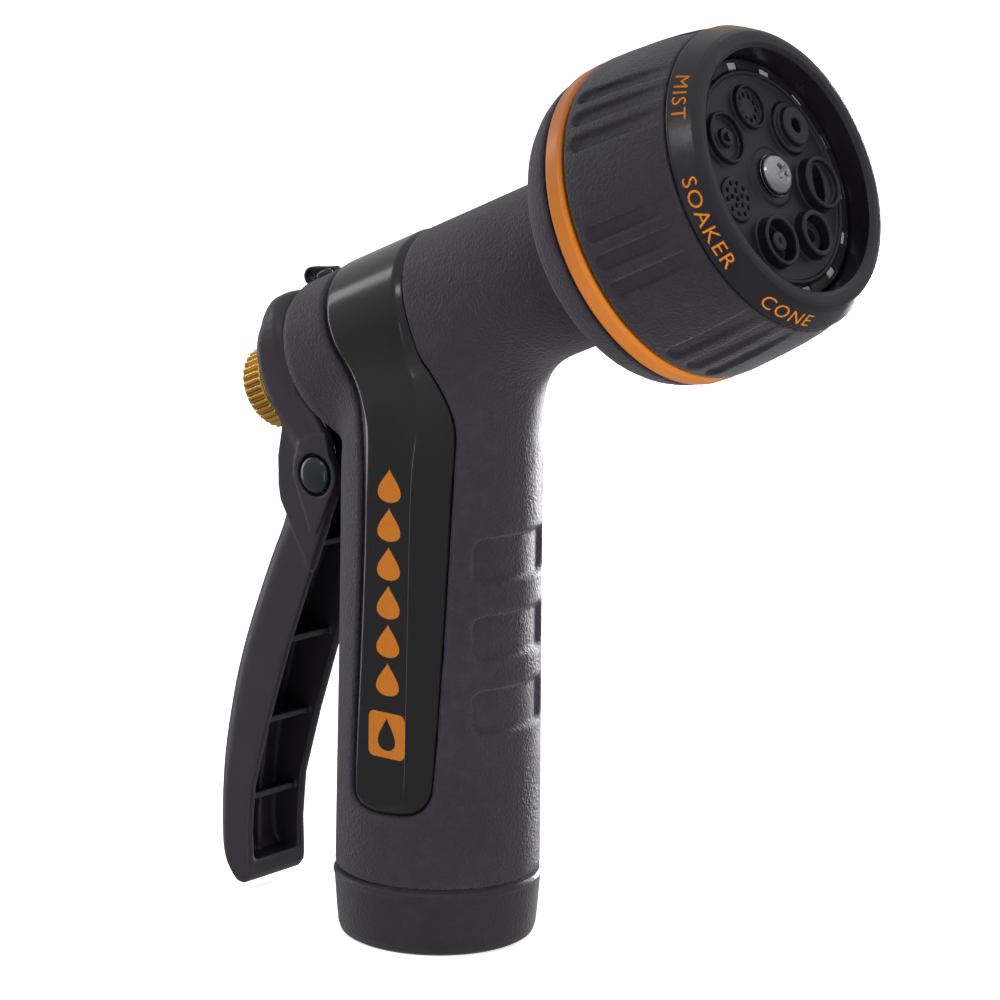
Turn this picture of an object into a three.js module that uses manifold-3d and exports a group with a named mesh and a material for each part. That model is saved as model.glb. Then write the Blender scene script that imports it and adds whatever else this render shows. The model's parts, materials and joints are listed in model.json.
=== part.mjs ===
// Hose spray nozzle with a rear squeeze lever and a seven-pattern turret head.
// Millimetres, +Z up the handle, +X the spray side, mirror plane y = 0 (turret features excepted).
// Origin: centre of the hose-end face at the bottom of the handle.
import * as THREE from 'three';
import { mergeVertices } from 'three/addons/utils/BufferGeometryUtils.js';
import Module from 'manifold-3d';

const wasm = await Module();
wasm.setup();

// ---------- driving dimensions ----------
const SEG = 28;                 // segments of the large round bodies
const FIT = 0.3;                // running and assembly clearance
const SPRAY_PITCH = 23.29;      // degrees that the spray axis rises above +X
const SPRAY_Z = 112.43;         // height at which the spray axis crosses the handle axis
const HANDLE_R = 18.2;          // rubber skin radius of the handle
const TUBE_R = 16.0;            // casting radius of the handle
const SOCKET_R = 13.1;          // garden-hose thread bore (26.99 mm major thread, minor shown)
const SOCKET_DEPTH = 14.5;
const WATERWAY_R = 9.0;
const COLLAR_R = 19.0, COLLAR_H = 12.1;
const SKIN_Z0 = 12.5;           // lower end of the rubber skin
const BARREL_R = 15.0;          // rubber skin radius of the barrel
const BARREL_CAST_R = 12.9;
const BARREL_REAR = -27.5;      // rear end of the skin along the spray axis
const BELL_S0 = 40.0, BELL_S1 = 49.3, BELL_R = 27.7;
const CHAMBER_R = 9.5;
const PIN_X = -22.3, PIN_Z = 82.2, PIN_R = 2.0;
const LUG_HALF = 5.9, EAR_IN = 6.4, EAR_OUT = 9.2;
const GRIP_HALF = 8.0, ARM_HALF = 10.5;
const STEM_R = 2.2;
const ARM_REAR = -37.9, ARM_CROWN = 22.0;
const NUT_R = 7.85;
const RING_S0 = 49.6, RING_S1 = 54.0;
const GRIP_S0 = 54.3, GRIP_S1 = 73.8;
const FACE_S = 78.9;
const PATTERNS = 7;
const PATTERN_PHASE = -14.5;    // degrees from -Y towards up, of the first pattern
const OUTLET_PCR = 12.0;        // pitch circle of the outlets

// ---------- materials ----------
const mat = (color, roughness, metalness) => new THREE.MeshStandardMaterial({ color, roughness, metalness });
const blackEnamel = () => mat(0x1c1a1e, 0.12, 0.0);
const softRubber = () => mat(0x322e33, 0.75, 0.0);
const blackNylon = () => mat(0x222126, 0.42, 0.0);
const brass = () => mat(0xc79a4a, 0.28, 1.0);
const steel = () => mat(0xb9bbbd, 0.25, 1.0);
const orange = () => mat(0xc9762a, 0.4, 0.0);
const seal = () => mat(0x1a1a1a, 0.7, 0.0);
const acetal = () => mat(0x3a3a3d, 0.5, 0.0);

// ---------- helpers ----------
const TH = THREE.MathUtils.degToRad(SPRAY_PITCH);
const rad = THREE.MathUtils.degToRad;
// matrix that carries the barrel frame (x = s along the spray, z = h above it) into the object frame
const BARREL = new THREE.Matrix4().makeRotationY(-TH).setPosition(0, 0, SPRAY_Z);
const toWorld = (s, h) => [s * Math.cos(TH) - h * Math.sin(TH), SPRAY_Z + s * Math.sin(TH) + h * Math.cos(TH)];

function solid(geometry) {
  let g = geometry.index ? geometry.toNonIndexed() : geometry.clone();
  g.deleteAttribute('normal'); g.deleteAttribute('uv');
  g = mergeVertices(g, 1e-4);
  return new wasm.Manifold(new wasm.Mesh({
    numProp: 3,
    vertProperties: new Float32Array(g.attributes.position.array),
    triVerts: new Uint32Array(g.index.array),
  }));
}
function geometryOf(m) {
  const out = m.getMesh();
  const g = new THREE.BufferGeometry();
  g.setAttribute('position', new THREE.BufferAttribute(new Float32Array(out.vertProperties), 3));
  g.setIndex(new THREE.BufferAttribute(new Uint32Array(out.triVerts), 1));
  g.computeVertexNormals();
  return g;
}
// body of revolution about Z: [radius, z] pairs from the axis round to the axis, or a closed loop
function latheZ(pts, seg = SEG, closed = false) {
  const v = pts.map(([r, z]) => new THREE.Vector2(r, z));
  if (closed) v.push(v[0].clone());
  const g = new THREE.LatheGeometry(v, seg);
  g.rotateX(Math.PI / 2);
  return orient(g);
}
// body of revolution about X (the spray axis in the barrel frame): [s, radius] pairs
function latheX(pts, seg = SEG, closed = false) {
  const v = pts.map(([s, r]) => new THREE.Vector2(r, s));
  if (closed) v.push(v[0].clone());
  const g = new THREE.LatheGeometry(v, seg);
  g.rotateZ(-Math.PI / 2);
  return orient(g);
}
// welds a lathe at its axis and seam, drops empty triangles and makes the faces point outwards
function orient(geometry) {
  let g = geometry.index ? geometry.toNonIndexed() : geometry.clone();
  g.deleteAttribute('normal'); g.deleteAttribute('uv');
  const p = g.attributes.position;
  for (let i = 0; i < p.count; i++) for (const ax of ['X', 'Y', 'Z']) {
    const c = p['get' + ax](i);
    if (Math.abs(c) < 1e-9) p['set' + ax](i, 0);
  }
  g = mergeVertices(g, 1e-5);
  const idx = [], a = g.index.array, q = g.attributes.position;
  const A = new THREE.Vector3(), B = new THREE.Vector3(), C = new THREE.Vector3();
  let vol = 0;
  for (let i = 0; i < a.length; i += 3) {
    if (a[i] === a[i + 1] || a[i + 1] === a[i + 2] || a[i] === a[i + 2]) continue;
    A.fromBufferAttribute(q, a[i]); B.fromBufferAttribute(q, a[i + 1]); C.fromBufferAttribute(q, a[i + 2]);
    vol += A.dot(B.clone().cross(C));
    idx.push(a[i], a[i + 1], a[i + 2]);
  }
  if (vol < 0) for (let i = 0; i < idx.length; i += 3) [idx[i], idx[i + 1]] = [idx[i + 1], idx[i]];
  g.setIndex(idx);
  return g;
}
// prism of an outline in the XZ plane (list of [x, z]), from y0 to y1
function prismY(pts, y0, y1, holes = []) {
  const shape = new THREE.Shape(pts.map(([x, z]) => new THREE.Vector2(x, z)));
  for (const h of holes) shape.holes.push(new THREE.Path(h.map(([x, z]) => new THREE.Vector2(x, z))));
  const g = new THREE.ExtrudeGeometry(shape, { depth: y1 - y0, bevelEnabled: false });
  g.rotateX(Math.PI / 2);          // extrusion now runs towards -Y
  g.translate(0, y1, 0);
  return orient(g);
}
// the same with rounded long edges of radius b
function prismYRound(pts, half, b) {
  const shape = new THREE.Shape(pts.map(([x, z]) => new THREE.Vector2(x, z)));
  const g = new THREE.ExtrudeGeometry(shape, { depth: 2 * (half - b), bevelEnabled: true, bevelThickness: b, bevelSize: b, bevelOffset: -b, bevelSegments: 1 });
  g.rotateX(Math.PI / 2);
  g.translate(0, half - b, 0);
  return orient(g);
}
// prism of an outline in the YZ plane (list of [y, z]), from x0 to x1
function prismX(pts, x0, x1) {
  const shape = new THREE.Shape(pts.map(([y, z]) => new THREE.Vector2(y, z)));
  const g = new THREE.ExtrudeGeometry(shape, { depth: x1 - x0, bevelEnabled: false });
  g.applyMatrix4(new THREE.Matrix4().makeBasis(new THREE.Vector3(0, 1, 0), new THREE.Vector3(0, 0, 1), new THREE.Vector3(1, 0, 0)));
  g.translate(x0, 0, 0);
  return orient(g);
}
const box = (x0, x1, y0, y1, z0, z1) => {
  const g = new THREE.BoxGeometry(x1 - x0, y1 - y0, z1 - z0);
  g.translate((x0 + x1) / 2, (y0 + y1) / 2, (z0 + z1) / 2);
  return g;
};
const rodX = (r, s0, s1, seg = 24) => latheX([[s0, 0], [s0, r], [s1, r], [s1, 0]], seg);
const rodY = (r, y0, y1, x, z, seg = 24) => {
  const g = new THREE.CylinderGeometry(r, r, y1 - y0, seg);
  g.translate(x, (y0 + y1) / 2, z);
  return g;
};
const barrelSolid = (g) => solid(g.clone().applyMatrix4(BARREL));
const toBarrelPoint = (ang, r) => [-r * Math.cos(rad(ang)), r * Math.sin(rad(ang))];   // [y, h]
const patternAngle = (k) => PATTERN_PHASE + (360 / PATTERNS) * k;
const ring = (s0, s1, ri, ro, seg = 28) => latheX([[s0, ri], [s0, ro], [s1, ro], [s1, ri]], seg, true);
const torusX = (s, R, r, seg = 24, sides = 8) => {
  const pts = [];
  for (let i = 0; i < sides; i++) { const a = (2 * Math.PI * (i + 0.5)) / sides; pts.push([s + r * Math.cos(a), R + r * Math.sin(a)]); }
  return latheX(pts, seg, true);
};
const arc = (cx, cz, r, a0, a1, n) => Array.from({ length: n + 1 }, (_, i) => {
  const a = rad(a0 + ((a1 - a0) * i) / n);
  return [cx + r * Math.cos(a), cz + r * Math.sin(a)];
});

// ---------- outer skin shape (handle, barrel, bell, front web) ----------
function skin(offset) {
  const o = offset;
  const handle = solid(latheZ([
    [0, SKIN_Z0], [18.55 - o, SKIN_Z0], [18.3 - o, 34], [HANDLE_R - o, 50], [18.0 - o, 90],
    [17.2 - o, 96.5], [15.2 - o, 103], [9.5 - o, 110], [0, 112.5],
  ]));
  const barrel = barrelSolid(latheX([
    [BARREL_REAR, 0], [BARREL_REAR, 12.4 - o], [BARREL_REAR + 1.2, 14.3 - o],
    [BARREL_REAR + 3.4, BARREL_R - o], [36.5, BARREL_R + 0.2 - o], [38.8, 16.0 - o], [BELL_S0 + 0.3, 19.2 - o],
    [BELL_S0 + 2.3, 23.9 - o], [BELL_S0 + 4.8, 26.3 - o], [BELL_S1 - 1.2, BELL_R - o], [BELL_S1, BELL_R - o], [BELL_S1, 0],
  ]));
  // web that fills the corner between the front of the handle and the underside of the neck
  const oval = latheZ([[0, 86], [12.6 - o, 86], [12.6 - o, 114], [0, 114]], 24);
  oval.scale(1.55, 1, 1); oval.translate(9.5, 0, 0);
  const web = solid(prismY([[8, 90], [17.4 - o, 90], [18.5 - o, 95], [19.6 - o, 100], [22.6 - o, 104.2], [28.4, 107.6 - o], [28.4, 112], [8, 112]], -14, 14)).intersect(solid(oval));
  return handle.add(barrel).add(web);
}
// side window of the skin: handle panel plus the band over the barrel, as an outline in XZ
function windowOutline(i) {
  const P = [];
  const W = (s, h) => { const [x, z] = toWorld(s, h); P.push([x, z]); };
  W(4.0 - i, 20); W(4.0 - i, 3);
  P.push([5.6 - i, 108.2], [8.6 - i, 104.6], [11.2 - i, 100.4], [12.4 - i, 95.5], [12.5 - i, 90], [12.0 - i, 72], [11.3 - i, 48], [10.6 - i, 31]);
  P.push([9.6 - i, 27.6 + i * 0.4], [7.2 - i * 0.6, 25.7 + i], [3, 25.3 + i], [-1.6, 25.5 + i], [-4.4 + i * 0.6, 26.6 + i * 0.8], [-5.6 + i, 29.4 + i * 0.2]);
  P.push([-5.4 + i, 40], [-4.6 + i, 58], [-4.0 + i, 78], [-4.3 + i, 90], [-6.2 + i, 96], [-9.8 + i, 101.2]);
  W(-14.6 + i, -0.5); W(-15.6 + i, 8); W(-16.0 + i, 20);
  return P;
}

// ---------- body_casting ----------
function makeCasting() {
  let c = solid(latheZ([[0, 0], [TUBE_R, 0], [TUBE_R, 90], [15.0, 96], [12.5, 101.5], [8, 106], [0, 108.5]]));
  c = c.add(barrelSolid(latheX([
    [-27.2, 0], [-27.2, BARREL_CAST_R], [37.2, BARREL_CAST_R], [40.6, 14.2], [42.6, 20.0], [43.8, 23.4], [45.8, 25.0], [48.9, 25.3], [48.9, 0],
  ])));
  c = c.add(skin(0.2).intersect(solid(prismY(windowOutline(0.35), -30, 30))));
  // pivot lug behind the handle
  c = c.add(solid(box(PIN_X, -13, -LUG_HALF, LUG_HALF, PIN_Z - 4.5, PIN_Z + 4.5)));
  c = c.add(solid(rodY(4.5, -LUG_HALF, LUG_HALF, PIN_X, PIN_Z)));
  // two posts that carry the hold-open latch
  for (const y of [-2.4, 2.4]) c = c.add(barrelSolid(box(-23.4, -20.2, y - 0.8, y + 0.8, 11, 15.7)));
  // water way, threaded socket, valve chamber and head cup
  c = c.subtract(solid(latheZ([[0, -1], [SOCKET_R, -1], [SOCKET_R, SOCKET_DEPTH], [WATERWAY_R, SOCKET_DEPTH + 0.4], [WATERWAY_R, 106], [0, 106]], 24)));
  c = c.subtract(barrelSolid(latheX([[-30, 0], [-30, 7.3], [-19.6, 7.3], [-18.4, CHAMBER_R], [44.5, CHAMBER_R], [44.5, 23.1], [50, 23.1], [50, 0]], 24)));
  c = c.subtract(solid(rodY(PIN_R + 0.15, -9, 9, PIN_X, PIN_Z)));
  c = c.subtract(barrelSolid(rodY(0.85, -6, 6, -21.8, 14.5, 12)));
  return geometryOf(c);
}

// ---------- grip_overmold ----------
function makeOvermold() {
  let r = skin(0);
  // inside: follows the casting with assembly clearance
  r = r.subtract(solid(latheZ([[0, 0], [TUBE_R + FIT, 0], [TUBE_R + FIT, 90.2], [15.4, 96.3], [12.9, 102], [8.3, 106.5], [0, 109]], 24)));
  r = r.subtract(barrelSolid(latheX([
    [-32, 0], [-32, BARREL_CAST_R + FIT], [37.0, BARREL_CAST_R + FIT], [40.3, 14.6], [42.2, 20.2], [43.4, 23.7], [45.6, 25.35], [52, 25.65], [52, 0],
  ], 24)));
  r = r.subtract(solid(prismY(windowOutline(0), -30, 30)));
  // relief round the pivot lug and the latch posts
  r = r.subtract(solid(box(-30, -10, -LUG_HALF - FIT, LUG_HALF + FIT, PIN_Z - 4.9, PIN_Z + 4.9)));
  r = r.subtract(barrelSolid(box(-24.2, -19.4, -3.7, 3.7, 10, 18)));
  r = r.subtract(barrelSolid(box(-29, -23, -1.6, 1.6, 13.7, 18)));
  // three finger recesses on the front
  for (const z of [71.6, 57.8, 44.4]) {
    const ring0 = latheZ([[17.1, z - 3.6], [21, z - 4.4], [21, z + 4.4], [17.1, z + 3.6]], SEG, true);
    const wedge = prismX([[-9.6, z - 5], [9.6, z - 5], [9.6, z + 5], [-9.6, z + 5]], 10, 24);
    r = r.subtract(solid(ring0).intersect(solid(wedge)));
  }
  // only the one connected skin, without slivers
  const parts = r.decompose().sort((a, b) => b.volume() - a.volume());
  return geometryOf(parts[0]);
}

// ---------- lever ----------
const leverRear = [[-30.4, 91], [-30.2, 87.6], [-31.3, 85.4], [-32.2, 82.4], [-31.6, 79.4], [-31.4, 75.4], [-32.9, 71.2], [-35.2, 66.4], [-38.6, 58.4], [-41.6, 50.4], [-44.1, 42.4], [-45.9, 34.5], [-47.3, 26.5], [-48.0, 18.6], [-48.1, 11], [-47.8, 6.8], [-46.3, 3.6], [-43.4, 2.0], [-40.4, 1.8]];
const leverFront = [[-39.0, 3.0], [-39.6, 6.4], [-39.6, 12], [-38.7, 20.6], [-35.1, 33.4], [-30.0, 49], [-24.7, 63]];
function makeLever() {
  const earFront = arc(PIN_X, PIN_Z, 4.9, -20, 42, 4);
  // lower grip channel with the ears
  const grip = solid(prismYRound([...leverRear, ...leverFront, [-19.9, 75], [-21.4, 79], [-23.5, 84], [-26, 91]], GRIP_HALF, 1.6));
  const ears = solid(prismYRound([[-32.0, 84], [-31.6, 79.5], [-31.0, 76], [-24.2, 64.4], ...earFront, [-20.6, 89.6], [-23.2, 93.6], [-30.6, 92.4]], EAR_OUT, 0.8));
  // upper arm: crowned rear face, rounded shield outline
  const a = (s, h) => toWorld(s, h);
  const crownC = ARM_REAR + ARM_CROWN;
  const crown = [];
  for (let h = 10.2; h >= -10.3; h -= 2.05) crown.push(a(crownC - Math.sqrt(ARM_CROWN ** 2 - h * h), h));
  const armSide = [a(-31.2, 14.6), a(-32.2, 15.6), a(-33.6, 15.5), a(-34.9, 14.0), ...crown, a(-34.6, -15), a(-34.0, -22), a(-27.9, -17), a(-27.9, -13), a(-28.1, -9.2), a(-29.2, -4.6), a(-30.9, -0.5), a(-31.2, 3.5)].reverse();
  const shieldPts = [[-EAR_OUT, -24], [EAR_OUT, -24], [EAR_OUT, -13], [ARM_HALF, -5], ...arc(0, 5.1, ARM_HALF, 0, 180, 12), [-ARM_HALF, -5], [-EAR_OUT, -13]];
  const arm = solid(prismYRound(armSide, ARM_HALF, 1.6)).intersect(barrelSolid(prismX(shieldPts, -45, -20)));
  let l = grip.add(ears).add(arm);
  // grip channel, open towards the handle
  const t = 2.3;
  const rearIn = leverRear.slice(10, 16).map(([x, z]) => [x + t, z - 0.2]);
  const channel = [[-28.8, 76.5], [-29.2, 73], ...rearIn, [-44.6, 6.2], [-34, 6.2], [-30, 12], [-20, 40], [-12, 62], [-12, 76.5]];
  l = l.subtract(solid(prismY(channel, -GRIP_HALF + 1.9, GRIP_HALF - 1.9)));
  // fork round the lug, open through to the arm channel
  l = l.subtract(solid(prismY([[-28.8, 73], [-10, 73], [-10, 96], [-22, 98], [-29.4, 92]], -EAR_IN, EAR_IN)));
  const armPocket = [a(-20, -20), a(-20, 12.9), a(-33.6, 12.9), a(-34.9, 9.5), a(-35.6, 4.5), a(-35.6, -4.5), a(-34.6, -9.5), a(-32.2, -14), a(-32.0, -20)];
  l = l.subtract(solid(prismY(armPocket, -8.3, 8.3)).intersect(barrelSolid(prismX([[-7.1, -22], [7.1, -22], [7.1, -13], [8.3, -6], ...arc(0, 4.9, 8.3, 0, 180, 8), [-8.3, -6], [-7.1, -13]], -45, -20))));
  // cross ribs and the low centre rib of the channel
  const ribAt = (z0, x0, x1) => solid(prismY([[x0, z0 - 0.6 - 1.2], [x1, z0 - 0.6 + 0.6], [x1, z0 + 0.6 + 0.6], [x0, z0 + 0.6 - 1.2]], -GRIP_HALF + 1.4, GRIP_HALF - 1.4));
  const body = solid(prismYRound([...leverRear, ...leverFront, [-19.9, 75], [-21.4, 79], [-23.5, 84], [-26, 91]], GRIP_HALF, 1.6));
  let ribs = ribAt(65.6, -37, -25.6);
  for (const [z, x0, x1] of [[48.2, -44, -31.4], [33.2, -47, -36.2], [18.6, -48, -40.2]]) ribs = ribs.add(ribAt(z, x0, x1));
  const spine = solid(prismY([...leverRear.slice(11, 16).map(([x, z]) => [x + 0.8, z]), [-45.5, 5], [-42.4, 5], [-42.9, 12], [-42.6, 20], [-40.6, 33], [-36.2, 48], [-30.3, 64.4]], -0.6, 0.6));
  l = l.add(ribs.add(spine).intersect(body));
  // slot for the valve stem, and the pin bore with its head recesses
  l = l.subtract(barrelSolid(prismX([...arc(0, 1.9, 2.7, 0, 180, 8), ...arc(0, -0.1, 2.7, 180, 360, 8)], -45, -34)));
  l = l.subtract(solid(rodY(PIN_R + 0.3, -20, 20, PIN_X, PIN_Z)));
  for (const d of [-1, 1]) l = l.subtract(solid(rodY(3.9, d > 0 ? EAR_OUT - 1.5 : -20, d > 0 ? 20 : -EAR_OUT + 1.5, PIN_X, PIN_Z, 28)));
  const parts = l.decompose().sort((p, q) => q.volume() - p.volume());
  return geometryOf(parts[0]);
}

// ---------- scene graph ----------
const nozzle = new THREE.Group();
const barrel = new THREE.Group();                 // local x = spray direction
barrel.position.set(0, 0, SPRAY_Z);
barrel.rotation.y = -TH;
nozzle.add(barrel);
const add = (parent, name, geometry, material, pos, rot) => {
  const m = new THREE.Mesh(geometry, material);
  m.name = name;
  if (pos) m.position.set(...pos);
  if (rot) m.rotation.set(...rot);
  parent.add(m);
  return m;
};

add(nozzle, 'body_casting', makeCasting(), blackEnamel());
add(nozzle, 'grip_overmold', makeOvermold(), softRubber());
add(nozzle, 'hose_end_bumper', latheZ([
  [TUBE_R + FIT, 0], [16.9, 0], [18.0, 0.5], [18.7, 1.5], [COLLAR_R, 3.0], [COLLAR_R, COLLAR_H - 0.6], [COLLAR_R - 0.5, COLLAR_H], [TUBE_R + FIT, COLLAR_H],
], SEG, true), softRubber());
add(nozzle, 'hose_washer', latheZ([[7.6, 11.3], [SOCKET_R - 0.4, 11.3], [SOCKET_R - 0.4, 14.2], [7.6, 14.2]], 24, true), seal());
add(nozzle, 'lever', makeLever(), blackNylon());
// rivet: shank with a domed head in the recess of each ear
{
  const y = (v) => v;
  const half = [[0, -10.0], [1.6, -9.85], [2.7, -9.35], [3.4, -8.5], [3.4, -8.0], [PIN_R, -8.0]];
  const pts = [...half, ...half.slice().reverse().map(([r, z]) => [r, y(-z)])];
  const g = new THREE.LatheGeometry(pts.map(([r, z]) => new THREE.Vector2(r, z)), 20);
  add(nozzle, 'pivot_pin', orient(g), steel(), [PIN_X, 0, PIN_Z]);
}

// valve train, along the spray axis
add(barrel, 'valve_stem', latheX([
  [-44.9, 0], [-44.9, 1.9], [-44.5, STEM_R], [14.6, STEM_R], [14.6, 6.9], [17.4, 6.9], [17.4, 2.0], [22.4, 2.0], [22.4, 0],
], 20), brass());
add(barrel, 'poppet_washer', ring(17.7, 19.9, 2.3, 7.2, 20), seal());
add(barrel, 'poppet_nut', geometryOf((() => {
  const hex = new THREE.CylinderGeometry(3.7, 3.7, 1.8, 6); hex.rotateZ(Math.PI / 2); hex.translate(21.1, 0, 0);
  return solid(hex).subtract(solid(rodX(2.3, 19, 24, 16)));
})()), brass());
add(barrel, 'valve_seat', latheX([[20.2, 5.0], [20.2, 5.8], [20.9, 6.2], [20.9, 9.2], [24.6, 9.2], [24.6, 5.0]], 24, true), acetal());
{
  // return spring: closed helix from the packing nut to the poppet
  const turns = 5.5, R = 5.6, w = 0.5, s0 = -20.5, s1 = 13.7;
  class Helix extends THREE.Curve {
    getPoint(t, v = new THREE.Vector3()) {
      const a = t * turns * 2 * Math.PI;
      return v.set(s0 + (s1 - s0) * t, R * Math.cos(a), R * Math.sin(a));
    }
  }
  const sec = new THREE.Shape(Array.from({ length: 5 }, (_, i) => new THREE.Vector2(w * Math.cos((i * 2 * Math.PI) / 5), w * Math.sin((i * 2 * Math.PI) / 5))));
  add(barrel, 'return_spring', orient(new THREE.ExtrudeGeometry(sec, { steps: 62, bevelEnabled: false, extrudePath: new Helix() })), steel());
}
add(barrel, 'packing_nut', geometryOf((() => {
  const hex = new THREE.CylinderGeometry(8.4, 8.4, 2.2, 6); hex.rotateZ(Math.PI / 2); hex.translate(-28.9, 0, 0);
  return solid(hex).add(solid(rodX(7.0, -28, -21.4, 22))).subtract(solid(rodX(STEM_R + FIT, -32, -20, 20))).subtract(solid(rodX(4.7, -25.0, -20, 20)));
})()), brass());
add(barrel, 'packing_oring', torusX(-23.6, 3.55, 0.95, 16, 6), seal());
{
  // knurled flow nut: smooth flange towards the arm, straight teeth, chamfered rear rim
  const teeth = 24, pts = [];
  for (let i = 0; i < teeth; i++) for (const [d, r] of [[-0.5, 7.3], [0, NUT_R]]) {
    const an = ((i + d + 0.5) * 2 * Math.PI) / teeth; pts.push([r * Math.cos(an), r * Math.sin(an)]);
  }
  let n = solid(prismX(pts, -44.6, -39.4));
  n = n.intersect(solid(latheX([[-44.6, 0], [-44.6, 7.0], [-43.9, NUT_R + 0.1], [-39.4, NUT_R + 0.1], [-39.4, 0]], 28)));
  n = n.add(solid(latheX([[-39.6, 0], [-39.6, 7.6], [-38.5, 7.6], [-38.2, 7.3], [-38.2, 0]], 28)));
  n = n.subtract(solid(rodX(STEM_R + FIT, -50, -30, 20)));
  add(barrel, 'flow_nut', geometryOf(n), brass());
}

// hold-open latch: thin finger with an eye at its rear end, hinged at its front end
{
  const hub = arc(-21.8, 14.5, 1.35, -200, 40, 8), eye = arc(-26.4, 15.9, 1.75, 70, 290, 8);
  const outline = [...hub, [-22.6, 16.5], [-24.2, 17.2], ...eye];
  const hole = arc(-26.4, 15.9, 0.8, 0, 330, 11);
  const pinHole = arc(-21.8, 14.5, 0.8, 0, 330, 11);
  add(barrel, 'hold_open_latch', prismY(outline, -1.2, 1.2, [hole, pinHole]), steel());
  add(barrel, 'latch_pin', rodY(0.5, -3.4, 3.4, -21.8, 14.5, 12), steel());
}

// fixed half of the head: port plate with the spindle that carries the turret
{
  const portA = patternAngle(2);
  const [py, ph] = toBarrelPoint(portA, OUTLET_PCR);
  const [dy, dh] = toBarrelPoint(-90, 20);
  let p = solid(latheX([
    [46.2, 0], [46.2, 17.5], [44.8, 17.5], [44.8, 22.8], [47.6, 22.8], [47.6, 6.0], [48.2, 5.0], [53.0, 5.0], [53.0, 3.8], [55.2, 3.8], [55.2, 5.0], [60.0, 5.0], [60.0, 0],
  ], 24));
  const hole = (r, s0, s1, y, h) => { const g = rodX(r, s0, s1, 14); g.translate(0, y, h); return solid(g); };
  p = p.subtract(hole(4.2, 44, 49, py, ph)).subtract(hole(1.7, 44, 49, dy, dh)).subtract(hole(2.0, 50, 62, 0, 0));
  add(barrel, 'port_plate', geometryOf(p), acetal());
  add(barrel, 'port_seal', ring(46.4, 49.7, 2.6, 3.9, 14), seal(), [0, py, ph]);
  add(barrel, 'detent_ball', new THREE.SphereGeometry(1.3, 10, 6), steel(), [48.4, dy, dh]);
  class Coil extends THREE.Curve {
    getPoint(t, v = new THREE.Vector3()) { const an = t * 2.5 * 2 * Math.PI; return v.set(45.1 + 1.6 * t, 1.1 * Math.cos(an), 1.1 * Math.sin(an)); }
  }
  const sec = new THREE.Shape(Array.from({ length: 5 }, (_, i) => new THREE.Vector2(0.2 * Math.cos((i * 2 * Math.PI) / 5), 0.2 * Math.sin((i * 2 * Math.PI) / 5))));
  add(barrel, 'detent_spring', orient(new THREE.ExtrudeGeometry(sec, { steps: 22, bevelEnabled: false, extrudePath: new Coil() })), steel(), [0, dy, dh]);
  add(barrel, 'spindle_oring', torusX(54.1, 4.5, 0.5, 16, 5), seal());
}

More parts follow.
